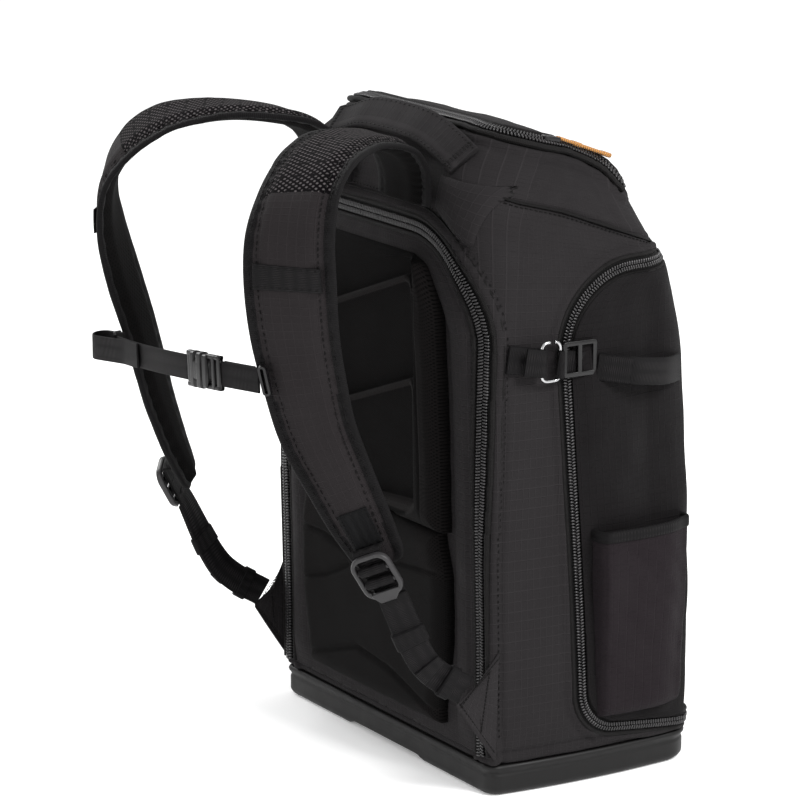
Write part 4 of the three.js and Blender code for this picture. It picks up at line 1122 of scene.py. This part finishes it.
strapMeshes = clothGrid(64, 260, strapPoint, (0.16, strapLength), strapLook)
weld(strapMeshes, 2e-5)
bothSides(
    strapMeshes, "shoulderStrap", [strapCloth, bindingTape, strapMesh, strapLining],
    "shoulder_strap",
)


def strapLine(fromT, toT, gap, out, step):
    # Frames on the outer face, gap in from an edge (negative from the inner one)
    count = max(int((toT - fromT) * strapLength / step), 2)
    frames = []
    for i in range(count + 1):
        point, along, across, normal, width = strapFrame(mix(fromT, toT, i / count))
        side = math.copysign(width / 2 - abs(gap), gap)
        frames.append((point + across * side + normal * out, along, across, normal))
    return frames


stitchRows = []
for gap, out in ((11.5 * mm, 3.5 * mm), (-11.5 * mm, 3.5 * mm), (5.5 * mm, 2.5 * mm), (-5.5 * mm, 2.5 * mm)):
    line = strapLine(0.05, 0.955, gap, out, strap["stitch"])
    stitchRows.append(rowOfBlocks(line, (0.6 * mm, 2.8 * mm, 0.6 * mm)))
bothSides(joinMeshes(stitchRows), "strapStitches", seamThread, "")
print("shoulder straps done")


# Webbing and its runs
web = {
    "width": 23 * mm,
    "thickness": 1.8 * mm,
    "lowerRun": [(0.1572, -0.1915, 0.1948), (0.1581, -0.1851, 0.184), (0.1587, -0.1791, 0.1744),
                 (0.1561, -0.1497, 0.1165), (0.1535, -0.1127, 0.0885)],
    "lowerAcross": ((0.726, 0.563, 0.394), (0, 0.819, 0.574)),
    "shortRun": [(0.1506, -0.1933, 0.2097), (0.1557, -0.1988, 0.208), (0.1571, -0.1918, 0.1953)],
    "shortAcross": ((0.726, 0.562, 0.397), (0.726, 0.563, 0.394)),
    "tail": (0.5, 0.8),  # shares of the lower run
    "keepers": (0.63, 0.86),
    "keeperRun": 0.045,
    "keeperThickness": 6.4 * mm,
}


def bandFrames(points, firstAcross, lastAcross, count, fromT=0.0, toT=1.0):
    frames = []
    for i in range(count + 1):
        t = mix(fromT, toT, i / count)
        point = Vector(throughRows(points, t))
        along = (Vector(throughRows(points, t + 0.01)) - Vector(throughRows(points, t - 0.01))).normalized()
        across = Vector(firstAcross).lerp(Vector(lastAcross), smooth(0.3, 1, t))
        across = (across - along * across.dot(along)).normalized()
        frames.append((point, along, across, along.cross(across)))
    return frames


def shifted(frames, out, side=0.0):
    return [(p + n * out + c * side, a, c, n) for p, a, c, n in frames]


def bandMesh(frames, width, thickness):
    section = roundRect(width, thickness, thickness * 0.45, 2)
    return sweep(frames, section)


def crossStitch(frames, width, out, rows=(0.4, -0.4), size=(0.6 * mm, 2.2 * mm, 0.5 * mm)):
    return joinMeshes([rowOfBlocks(frames, size, (width * row, 0, out)) for row in rows])


def barTack(frame, width, out, lines=3, gap=1.6 * mm):
    # Short rows of stitches across a band
    point, along, across, normal = frame
    blocks = []
    for k in range(lines):
        base = point + normal * out + along * (k * gap)
        row = [(base + across * (width * (i / 8 - 0.5) * 0.86), across, along, normal) for i in range(9)]
        blocks.append(rowOfBlocks(row, (0.5 * mm, 2.0 * mm, 0.5 * mm)))
    return joinMeshes(blocks)


lowerFrames = bandFrames(web["lowerRun"], *web["lowerAcross"], 90)
bothSides(bandMesh(lowerFrames, web["width"], web["thickness"]), "lowerWeb", webTape, "lower_web")
shortFrames = bandFrames(web["shortRun"], *web["shortAcross"], 24)
bothSides(bandMesh(shortFrames, web["width"], web["thickness"]), "shortWeb", webTape, "short_web")

# Loose end of the lower webbing, folded over and held by two keepers
tailFrames = shifted(bandFrames(web["lowerRun"], *web["lowerAcross"], 50, *web["tail"]), 2.0 * mm)
tail = bandMesh(tailFrames, web["width"] * 0.98, web["thickness"] * 0.9)
hem = bandMesh(shifted(tailFrames[-9:], 1.7 * mm), web["width"] * 0.96, web["thickness"] * 0.9)
bothSides(joinMeshes([tail, hem]), "webTail", webTape, "")
keepers = []
for t in web["keepers"]:
    hold = bandFrames(web["lowerRun"], *web["lowerAcross"], 8, t, t + web["keeperRun"])
    keepers.append(bandMesh(shifted(hold, 1.2 * mm), web["width"] + 3 * mm, web["keeperThickness"]))
bothSides(joinMeshes(keepers), "webKeepers", bindingTape, "")


def onStrap(fromT, toT, count, out):
    # Frames down the middle of a strap's outer face
    spots = (strapFrame(mix(fromT, toT, i / count)) for i in range(count + 1))
    return [(p + n * (strap["half"] + out), a, c, n) for p, a, c, n, _ in spots]


# Cross band, label and tab on each strap; places are shares of the strap's length
trim = {
    "band": (0.572, 0.604),
    "bandMiddle": 0.59,
    "bandInset": 18 * mm,
    "bandThickness": 1.6 * mm,
    "label": (0.908, 0.956),
    "labelSize": (24 * mm, 1.2 * mm),
    "tabLow": ((0.0898, 0.444), (0.1331, 0.418)),  # (X, Z) of its corners on the bag's back
    "tabHigh": ((0.0898, 0.466), (0.1368, 0.46)),
    "tabLift": 0.9 * mm,
    "tabPuff": 1.2 * mm,
    "tabThickness": 1.4 * mm,
}
strapBand = onStrap(*trim["band"], 10, -0.2 * mm)
bandWidth = strapFrame(trim["bandMiddle"])[4] - trim["bandInset"]
bandStrip = bandMesh(strapBand, bandWidth, trim["bandThickness"])
bothSides(bandStrip, "strapBand", webTape, "strap_band")
bandStitches = joinMeshes([barTack(strapBand[i], bandWidth, 1.0 * mm, 1) for i in (1, 9)])
bothSides(bandStitches, "strapBandStitches", seamThread, "")
labelFrames = onStrap(*trim["label"], 12, 0.6 * mm)
labelMesh = bandMesh(labelFrames, *trim["labelSize"])
addPiece(labelMesh, "strapLabel", labelCloth, ["strap_label"])
labelEdge = crossStitch(labelFrames, 21 * mm, 0.8 * mm, (0.48, -0.48), (0.5 * mm, 1.2 * mm, 0.4 * mm))
addPiece(labelEdge, "labelStitches", seamThread)


def tabPoint(u, v):
    low, high = (Vector(trim[side][0]).lerp(Vector(trim[side][1]), u) for side in ("tabLow", "tabHigh"))
    x, z = low.lerp(high, v)
    point, normal = onBack(x, z)
    edge = min(u, 1 - u, v * 0.6, (1 - v) * 0.6)
    lift = trim["tabLift"] + trim["tabPuff"] * roundedEdge(edge, 0.14)
    lift += 0.4 * mm * noise.noise(Vector((x * 60, z * 60, 2)))
    return point + normal * lift


tabMesh = clothGrid(34, 26, tabPoint, (0.045, 0.032))
bmesh.ops.solidify(tabMesh, geom=tabMesh.faces[:], thickness=trim["tabThickness"])
bothSides(tabMesh, "strapTab", bagCloth, "strap_tab")

# Gusset that anchors the lower webbing in the corner seam
gusset = {
    "low": (0.1561, -0.0868, 0.03),
    "high": (0.1601, -0.0868, 0.116),
    "webLow": (0.1537, -0.1199, 0.079),
    "webHigh": (0.1537, -0.1015, 0.0919),
    "thickness": 2.2 * mm,
    "facing": (1, -0.45, 0),
}
gussetFacing = Vector(gusset["facing"]).normalized()


def gussetPoint(u, v, lift=0.0):
    start = Vector(gusset["webLow"]).lerp(Vector(gusset["webHigh"]), v)
    end = Vector(gusset["low"]).lerp(Vector(gusset["high"]), v)
    edge = min(v, 1 - v)
    puff = 0.9 * mm * roundedEdge(edge, 0.12) + 0.5 * mm * math.sin(math.pi * u)
    return start.lerp(end, u) + gussetFacing * (puff + lift)


gussetMesh = clothGrid(40, 36, gussetPoint, (0.035, 0.06))
bmesh.ops.solidify(gussetMesh, geom=gussetMesh.faces[:], thickness=gusset["thickness"])
bothSides(gussetMesh, "anchorGusset", anchorCloth, "anchor_gusset")


def gussetStitch(points):
    spots = resample([gussetPoint(u, v, 0.4 * mm) for u, v in points], 3 * mm)
    frames = []
    for i, spot in enumerate(spots):
        along = heading(spots, i)
        frames.append((spot, along, along.cross(gussetFacing).normalized(), gussetFacing))
    return rowOfBlocks(frames, (0.5 * mm, 2.1 * mm, 0.5 * mm))


gussetRows = [
    gussetStitch([(0.05, 0.1), (0.95, 0.06)]), gussetStitch([(0.05, 0.9), (0.95, 0.94)]),
    gussetStitch([(0.05, 0.12), (0.6, 0.9)]), gussetStitch([(0.05, 0.88), (0.6, 0.12)]),
    gussetStitch([(0.6, 0.1), (0.6, 0.9)]), gussetStitch([(0.08, 0.1), (0.08, 0.9)]),
]
bothSides(joinMeshes(gussetRows), "gussetStitches", seamThread, "")
print("webbing done")


# Hardware: the frame's rigid shapes with rounded edges
def roundedCopy(node, name, bevel, material, segments=2):
    shape = bmesh.new()
    shape.from_mesh(frame["nodes"][node].data)
    bmesh.ops.remove_doubles(shape, verts=shape.verts, dist=2e-5)
    bmesh.ops.dissolve_limit(shape, angle_limit=math.radians(6), verts=shape.verts, edges=shape.edges)
    sharp = [edge for edge in shape.edges if edge.is_manifold and edge.calc_face_angle() > math.radians(30)]
    bmesh.ops.bevel(
        shape, geom=sharp, offset=bevel, affect="EDGES", segments=segments, profile=0.5, material=-1,
        clamp_overlap=True,
    )
    return addPiece(shape, name, material, [node])


for side in ("right", "left"):
    roundedCopy("sternum_ring_" + side, "sternumRing" + side.title(), 0.8 * mm, blackPlastic)
roundedCopy("lid_slider", "lidSlider", 1.0 * mm, blackPlastic, 3)
roundedCopy("side_glide", "sideGlide", 0.7 * mm, blackPlastic)

# Ladder lock: a rounded frame with two bars, and the lip that the thumb lifts
lock = {
    "middle": (0.1604, -0.1926, 0.1905),
    "across": (0.726, 0.563, 0.394),
    "along": (0.076, 0.504, -0.86),
    "normal": (0.684, -0.655, -0.323),
    "halfWide": 14.2 * mm,
    "halfTall": 16.7 * mm,
    "turn": 8 * mm,
    "frame": (3.4 * mm, 5.2 * mm),
    "bars": (-5.6 * mm, 5.4 * mm),
    "barHalf": 13 * mm,
    "bar": (3.6 * mm, 4.4 * mm),
    "lipWidth": 24 * mm,
    "reach": 17 * mm,
}
lockPoint, lockAcross, lockAlong, lockNormal = (
    Vector(lock[key]) for key in ("middle", "across", "along", "normal")
)
lockEdge = []
for x, y, begin in ((1, 1, 0), (-1, 1, 90), (-1, -1, 180), (1, -1, 270)):
    for i in range(9):
        angle = math.radians(begin + 90 * i / 8)
        wide = x * (lock["halfWide"] - lock["turn"]) + lock["turn"] * math.cos(angle)
        tall = y * (lock["halfTall"] - lock["turn"]) + lock["turn"] * math.sin(angle)
        lockEdge.append(lockPoint + lockAcross * wide - lockAlong * tall)
lockEdge.append(lockEdge[0])
edgeFrames = []
for i, spot in enumerate(lockEdge):
    along = closedHeading(lockEdge, i)
    edgeFrames.append((spot, along, along.cross(lockNormal).normalized(), lockNormal))
lockParts = [sweep(edgeFrames, roundRect(*lock["frame"], 1.5 * mm))]
for reach in lock["bars"]:
    barMiddle = lockPoint + lockAlong * reach
    barSpots = [barMiddle + lockAcross * (lock["barHalf"] * share) for share in (-1, 0, 1)]
    barFrames = [(spot, lockAcross, lockAlong, lockNormal) for spot in barSpots]
    lockParts.append(sweep(barFrames, roundRect(*lock["bar"], 1.4 * mm)))
bothSides(joinMeshes(lockParts), "ladderLock", greyPlastic, "ladder_lock")
lipFrames = []
for i in range(9):
    share = i / 8
    out = 1.2 * mm + 2.0 * mm * share * share
    spot = lockPoint + lockAlong * (lock["reach"] - 4 * mm + 8 * mm * share) + lockNormal * out
    way = (lockAlong + lockNormal * 0.7 * share).normalized()
    lipFrames.append((spot, way, lockAcross, way.cross(lockAcross)))
lip = sweep(lipFrames, roundRect(lock["lipWidth"], 3.6 * mm, 1.5 * mm))
for vert in lip.verts:
    reach = (vert.co - lockPoint).dot(lockAlong) - lock["reach"]
    side = (vert.co - lockPoint).dot(lockAcross)
    vert.co -= lockAcross * side * 0.5 * smooth(-3 * mm, 5 * mm, reach)
bothSides(lip, "lockLip", greyPlastic, "")
folds = []
for reach in lock["bars"]:
    frames = []
    for i in range(9):
        angle = math.pi * (i / 8)
        down, out = reach - 3.1 * mm * math.cos(angle), 3.3 * mm * math.sin(angle) - 0.6 * mm
        spot = lockPoint + lockAlong * down + lockNormal * out
        way = (lockAlong * math.sin(angle) + lockNormal * math.cos(angle)).normalized()
        frames.append((spot, way, lockAcross, way.cross(lockAcross)))
    folds.append(bandMesh(frames, web["width"], 1.6 * mm))
bothSides(joinMeshes(folds), "lockFolds", webTape, "")

# Sternum strap, from the left ring to the right one
sternum = {
    "run": [(-0.1144, -0.2596, 0.3154), (-0.0855, -0.2673, 0.3192), (-0.0567, -0.2729, 0.3227),
            (-0.0279, -0.2765, 0.3258), (0.0009, -0.2781, 0.3285), (0.0297, -0.2777, 0.3309),
            (0.0585, -0.2753, 0.3329), (0.0873, -0.2709, 0.3345), (0.1161, -0.2644, 0.3357)],
    "width": 19 * mm,
    "buckle": (0.3, 0.474, 0.647),
    "fold": 12 * mm,
}
upwards = (0, 0, 1)


def sternumFrames(low, high, count, out=0.0):
    wave = bandFrames(sternum["run"], upwards, upwards, count, (low + 1) / 2, (high + 1) / 2)
    return shifted(wave, out)


buckleFrom, buckleMiddle, buckleTo = sternum["buckle"]
rightWeb = [
    bandMesh(sternumFrames(buckleTo + 0.01, 1.0, 20), sternum["width"], web["thickness"]),
    bandMesh(sternumFrames(buckleTo + 0.02, 0.93, 16, -2.1 * mm), sternum["width"], web["thickness"]),
]
addPiece(joinMeshes(rightWeb), "sternumWebRight", webTape, ["sternum_web_right"])
leftWeb = bandMesh(sternumFrames(-1.0, buckleFrom - 0.01, 50), sternum["width"], web["thickness"])
addPiece(leftWeb, "sternumWebLeft", webTape, ["sternum_web_left"])

# Its loose end: a loop past the left ring that comes back along the band
loopFrames = []
for i, (point, along, across, normal) in enumerate(sternumFrames(-1.0, -0.42, 30, 2.6 * mm)):
    bow = sternum["fold"] * (1 - smooth(0, 0.55, i / 30))
    loopFrames.append((point + normal * bow + Vector((-bow * 0.7, 0, 0)), along, across, normal))
loopFrames.reverse()
start = loopFrames[-1][0]
turned = []
for i in range(1, 13):
    angle = math.pi * i / 12
    bulge = Vector((-8 * mm * math.sin(angle), 7 * mm * (1 - math.cos(angle)), 2 * mm * i / 12))
    turned.append(start + bulge)
end = turned[-1]
runBack = [end + Vector((2.8 * mm, 0.2 * mm, 0.3 * mm)) * i for i in range(1, 9)]
spots = [spot[0] for spot in loopFrames] + turned + runBack
tailRun = []
for i, spot in enumerate(spots):
    along = heading(spots, i)
    across = Vector(upwards)
    across = (across - along * across.dot(along)).normalized()
    tailRun.append((spot, along, across, along.cross(across)))
addPiece(
    bandMesh(tailRun, sternum["width"], web["thickness"]), "sternumTail", webTape, ["sternum_tail"]
)

# Side release buckle: a socket with windows for the arms of the plug
buckle = {
    "width": 27 * mm,
    "height": 8.4 * mm,
    "spine": 15 * mm,
    "bar": 4 * mm,
    "wall": 3.6 * mm,
    "wallReach": 11.6 * mm,
    "plugWidth": 25 * mm,
    "plugHeight": 7.4 * mm,
    "arm": 3.4 * mm,
    "armReach": 10.4 * mm,
    "armHeight": 5 * mm,
    "barWidth": 26 * mm,
    "sideReach": 11.2 * mm,
}


def buckleBox(low, high, width, thickness, side=0, corner=1.2 * mm, out=0):
    frames = shifted(sternumFrames(low, high, 6), out, side)
    return sweep(frames, roundRect(width, thickness, corner))


third = (buckleMiddle - buckleFrom) / 3
socketWide, socketHigh, armHigh = buckle["width"], buckle["height"], buckle["armHeight"]
mouth = buckleMiddle - 0.004
socket = [
    buckleBox(buckleFrom + third, mouth, buckle["spine"], socketHigh, corner=2 * mm),
    buckleBox(buckleFrom + third, buckleFrom + 1.6 * third, socketWide, socketHigh, corner=2.6 * mm),
    buckleBox(buckleMiddle - 0.8 * third, mouth, socketWide, socketHigh, corner=2.6 * mm),
    buckleBox(buckleFrom, buckleFrom + 0.028, socketWide, buckle["bar"], corner=1.6 * mm),
]
for side in (buckle["wallReach"], -buckle["wallReach"]):
    socket.append(buckleBox(buckleFrom, buckleFrom + third, buckle["wall"], armHigh, side))
addPiece(joinMeshes(socket), "buckleSocket", blackPlastic, ["buckle_socket"])
plugWide, plugHigh = buckle["plugWidth"], buckle["plugHeight"]
plug = [
    buckleBox(buckleMiddle + 0.006, buckleMiddle + 0.05, plugWide, plugHigh, corner=2.2 * mm),
    buckleBox(buckleTo - 0.03, buckleTo, buckle["barWidth"], buckle["bar"], corner=1.6 * mm),
    buckleBox(buckleTo - 0.075, buckleTo - 0.05, buckle["barWidth"], 3.4 * mm, corner=1.4 * mm, out=1 * mm),
]
for side in (1, -1):
    armSide, frameSide = side * buckle["armReach"], side * buckle["sideReach"]
    plug.append(buckleBox(buckleMiddle - 0.9 * third, buckleMiddle + 0.02, buckle["arm"], armHigh, armSide))
    plug.append(buckleBox(buckleMiddle + 0.04, buckleTo, buckle["arm"], armHigh, frameSide))
addPiece(joinMeshes(plug), "bucklePlug", blackPlastic, ["buckle_plug"])
print("sternum strap done")

# Grab handle: a wide band arched over the yoke
handle = {
    "run": [(-0.0855, -0.0841, 0.4815), (-0.0662, -0.0843, 0.486), (-0.0333, -0.0843, 0.495),
            (0.009, -0.0843, 0.4972), (0.0513, -0.0843, 0.495), (0.0847, -0.0841, 0.4855),
            (0.1044, -0.0835, 0.477)],
    "across": (0, 0.67, 0.743),
    "width": 28 * mm,
    "thickness": 4 * mm,
}
handleFrames = bandFrames(handle["run"], handle["across"], handle["across"], 120)
handleMesh = sweep(handleFrames, roundRect(handle["width"], handle["thickness"], 1.9 * mm, 4))
addPiece(handleMesh, "grabHandle", bagCloth, ["grab_handle"])
handleRows = crossStitch(handleFrames[4:-4:3], handle["width"], handle["thickness"] / 2 + 0.1 * mm)
handleTacks = [barTack(handleFrames[i], handle["width"], 2.1 * mm) for i in (8, -12)]
addPiece(joinMeshes([handleRows, *handleTacks]), "handleStitches", seamThread)

# Amber cord pull, a loop through the slider with a whipped end
pull = {
    "slider": (0.113, -0.0146, 0.4875),
    "slope": (0, 0.976, -0.216),
    "fall": 0.14,
    "length": 46 * mm,
    "half": 2.2 * mm,
    "cord": 1.35 * mm,
}
sideways = Vector((1, 0, 0))
slope = Vector(pull["slope"])
riseUp = sideways.cross(slope).normalized()
pullAlong = (slope * math.cos(pull["fall"]) - riseUp * math.sin(pull["fall"])).normalized()
pullUp = sideways.cross(pullAlong)
pullStart = Vector(pull["slider"]) + slope * 6.5 * mm + riseUp * 3.4 * mm
loopPlaces = []
half, length = pull["half"], pull["length"]
for i in range(80):
    turn = i / 80
    if turn < 0.42:
        x, y = half, mix(half, length - half, turn / 0.42)
    elif turn < 0.5:
        angle = math.pi * (turn - 0.42) / 0.08
        x, y = half * math.cos(angle), length - half + half * math.sin(angle)
    elif turn < 0.92:
        x, y = -half, mix(length - half, half, (turn - 0.5) / 0.42)
    else:
        angle = math.pi * (turn - 0.92) / 0.08
        x, y = -half * math.cos(angle), half - half * math.sin(angle)
    loopPlaces.append(pullStart + sideways * x + pullAlong * y)
loopPlaces.append(loopPlaces[0].copy())
cordFrames = []
for i, spot in enumerate(loopPlaces):
    along = closedHeading(loopPlaces, i)
    across = along.cross(pullUp).normalized()
    cordFrames.append((spot, along, across, across.cross(along)))
turns = [math.pi * k / 6 for k in range(12)]
ring = [(pull["cord"] * math.cos(turn), pull["cord"] * math.sin(turn)) for turn in turns]
cordParts = [sweep(cordFrames, ring)]
for y in (0.3, 0.92):
    wraps = [pullStart + pullAlong * (length * y + i * 0.9 * mm) for i in range(9)]
    wrapFrames = [(spot, pullAlong, sideways, pullUp) for spot in wraps]
    cordParts.append(sweep(wrapFrames, roundRect(7 * mm, 3.6 * mm, 1.7 * mm, 4)))
addPiece(joinMeshes(cordParts), "lidPull", amberCord, ["lid_pull"])
print("handle and pull done")

# Side gusset inside the pocket's zip
sidePocket = {
    "back": -30 * mm,
    "front": 84 * mm,
    "zipLow": 45 * mm,
    "zipTop": 395 * mm,
    "rim": 201 * mm,
    "mouth": 22 * mm,
    "lean": 0.05,
    "foot": 53.5 * mm,
    "wall": 2.2 * mm,
    "skin": 2 * mm,
}


def zipEdge(z):
    # Where the pocket's zip is at a height
    line = zips["pocketLine"]
    for (ay, az), (by, bz) in zip(line, line[1:]):
        if az <= z < bz:
            return mix(ay, by, (z - az) / (bz - az))
    return line[0][0] if z < line[0][1] else line[-2][0]


def sideGussetPoint(u, v):
    clear = zips["pocketTape"] / 2
    z = mix(0.0313 + clear * 0.6, sidePocket["zipTop"] - clear - 0.3 * mm, v)
    edgeOfZip = max(zipEdge(z + k * clear) for k in (-1, -0.5, 0, 0.5, 1))
    y = mix(edgeOfZip + clear * 0.75, sidePocket["front"], u)
    y = min(y, sidePocket["front"] + 2 * mm)
    point, normal = onSide(y, z)
    edge = min(u, (1 - v) * 2.4, v * 2.4)
    lift = 0.6 * mm + sidePocket["skin"]
    lift += 5.5 * mm * math.sin(math.pi * clamp(u * 1.6)) * smooth(0.35, 0.5, v) * (1 - smooth(0.8, 0.97, v))
    lift += 2.2 * mm * noise.noise(Vector((y * 40, z * 22, 6))) * smooth(0, 0.12, edge)
    return point + normal * lift


sideGussetMesh = clothGrid(60, 180, sideGussetPoint, (0.1, 0.35))
bmesh.ops.solidify(sideGussetMesh, geom=sideGussetMesh.faces[:], thickness=1.6 * mm)
addPiece(sideGussetMesh, "sideGusset", gussetCloth, ["side_gusset"])


# Open pocket on the gusset
def pocketOutline(level):
    share = (level - sidePocket["zipLow"]) / (sidePocket["rim"] - sidePocket["zipLow"])
    stand = mix(8 * mm, sidePocket["mouth"], share)
    wide = onSide(mix(sidePocket["back"], sidePocket["front"], 0.3), level)[0].x + stand
    narrow = onSide(sidePocket["front"] - 16 * mm, level)[0].x + stand * 0.75
    start = sidePocket["back"] + sidePocket["lean"] * (sidePocket["zipTop"] - level) + zips["pocketTape"]
    end = sidePocket["front"] - 6 * mm
    inner = 0.153
    turn = 9 * mm
    return [
        (inner, start), (mix(inner, wide - turn, 0.5), start), (wide - turn, start),
        (wide - turn * 0.3, start + turn * 0.3), (wide, start + turn), (wide + 1 * mm, mix(start, end, 0.4)),
        (mix(wide, narrow, 0.45) + 2 * mm, mix(start, end, 0.7)), (narrow, end - turn),
        (narrow - turn * 0.3, end - turn * 0.3), (narrow - turn, end), (mix(inner, narrow - turn, 0.5), end),
        (inner, end),
    ]


def pocketPoint(u, v):
    level = mix(sidePocket["foot"], sidePocket["rim"], v)
    x, y = throughRows(pocketOutline(level), u)
    tuck = 1 - roundedEdge(v, 0.06)
    face = smooth(0.2, 0.4, u) * (1 - smooth(0.72, 0.9, u))
    x -= 7 * mm * tuck
    crease = noise.noise(Vector((y * 30, level * 16, 11)))
    slope = noise.noise(Vector((y * 70 + level * 55, level * 24, 2)))
    x += (1.7 * mm * crease + 0.9 * mm * slope) * face * smooth(0, 0.1, v) * (1 - 0.7 * smooth(0.85, 1, v))
    x -= 1.6 * mm * hump(u - 0.5, 0.35) * smooth(0.7, 1, v)
    return Vector((x, y, level))


pocketMesh = clothGrid(110, 110, pocketPoint, (0.19, 0.148))
bmesh.ops.solidify(pocketMesh, geom=pocketMesh.faces[:], thickness=sidePocket["wall"])
addPiece(pocketMesh, "sidePocket", pocketCloth, ["side_pocket"])
rimFrames = []
rimSpots = [pocketPoint(i / 80, 1.0) for i in range(81)]
for i, spot in enumerate(rimSpots):
    along = heading(rimSpots, i)
    rimFrames.append((spot, along, Vector(upwards), along.cross(Vector(upwards))))
rim = sweep(shifted(rimFrames, -0.8 * mm, -4 * mm), roundRect(9 * mm, 4 * mm, 1.6 * mm, 3))
addPiece(rim, "pocketRim", bindingTape)

# Side strap: back band, wire hook, glide and front band
sideStrap = {
    "width": 21 * mm,
    "height": 329 * mm,
    "fall": 18 / 114,
    "backFrom": -77.3 * mm,
    "hookFrom": -54.5 * mm,
    "hookX": 163.46 * mm,
    "hookSpan": 19 * mm,
    "wire": 2.6 * mm,
    "hookBend": 5 * mm,
    "frontRun": [
        (0.1635, -0.004, 0.3249), (0.1755, 0.0207, 0.321), (0.1707, 0.0523, 0.316), (0.1527, 0.0786, 0.3128),
    ],
}


def sideStrapZ(y):
    return sideStrap["height"] - sideStrap["fall"] * (y - sidePocket["back"])


backBand = []
for i in range(13):
    y = mix(sideStrap["backFrom"], sideStrap["hookFrom"] + 4 * mm, i / 12)
    point, normal = onSide(y, sideStrapZ(y))
    along = Vector((0, 1, -sideStrap["fall"])).normalized()
    across = along.cross(normal).normalized()
    lift = 2.6 * mm + 3.5 * mm * smooth(0.4, 1, i / 12)
    backBand.append((point + normal * lift, along, across, across.cross(along)))


def bandThrough(rows):
    # Webbing through the side hardware: rows of (out from the wire, y)
    points = [(sideStrap["hookX"] + out, y, sideStrapZ(y)) for out, y in rows]
    return bandMesh(bandFrames(points, (0, 0, 1), (0, 0, 1), 24), sideStrap["width"], web["thickness"])


hookStart = sideStrap["hookFrom"]
hookEnd = hookStart + sideStrap["hookSpan"]
backFold = bandThrough([(0.4 * mm, hookStart - 13 * mm), (1.8 * mm, hookStart - 5 * mm),
                        (2.6 * mm, hookStart + 1 * mm), (1.2 * mm, hookStart + 4.4 * mm)])
addPiece(
    joinMeshes([bandMesh(backBand, sideStrap["width"], web["thickness"]), backFold]), "sideStrapBack",
    webTape, ["side_strap_back"],
)
long = sideStrap["hookSpan"] - sideStrap["wire"]
tall = sideStrap["width"] + 3.2 * sideStrap["wire"]
bend = sideStrap["hookBend"]
hookLine = [(long * 0.45, tall / 2)]
for x, y, begin in (
    (bend, tall / 2 - bend, 90), (bend, bend - tall / 2, 180),
    (long - bend, bend - tall / 2, 270), (long - bend, tall / 2 - bend, 0),
):
    for i in range(9):
        angle = math.radians(begin + 90 * i / 8)
        hookLine.append((x + bend * math.cos(angle), y + bend * math.sin(angle)))
hookCorner = Vector((sideStrap["hookX"], hookStart + sideStrap["wire"] / 2, sideStrapZ(hookStart)))
hookSpots = resample([hookCorner + Vector((0, x, y)) for x, y in hookLine], 1.2 * mm)
hookFrames = []
for i, spot in enumerate(hookSpots):
    along = heading(hookSpots, i)
    hookFrames.append((spot, along, along.cross(sideways).normalized(), sideways))
wireHalf = sideStrap["wire"] / 2
turns = [math.pi * k / 7 for k in range(14)]
wireRing = [(wireHalf * math.cos(turn), wireHalf * math.sin(turn)) for turn in turns]
addPiece(sweep(hookFrames, wireRing), "sideHook", brightSteel, ["side_hook"])
frontBand = bandFrames(sideStrap["frontRun"], upwards, upwards, 40)
foldBack = shifted(bandFrames(sideStrap["frontRun"], upwards, upwards, 12, 0, 0.3), 2.1 * mm)
addPiece(
    joinMeshes([
        bandMesh(frontBand, sideStrap["width"], web["thickness"]),
        bandMesh(foldBack, sideStrap["width"] - 1 * mm, web["thickness"]),
        bandThrough([
            (1.4 * mm, hookEnd - 4.4 * mm), (2.6 * mm, hookEnd - 1 * mm), (-1.6 * mm, hookEnd + 6 * mm),
            (-1.8 * mm, hookEnd + 22 * mm), (0, -3.5 * mm),
        ]),
    ]),
    "sideStrapFront", webTape, ["side_strap_front"],
)
print("side pocket and strap done")
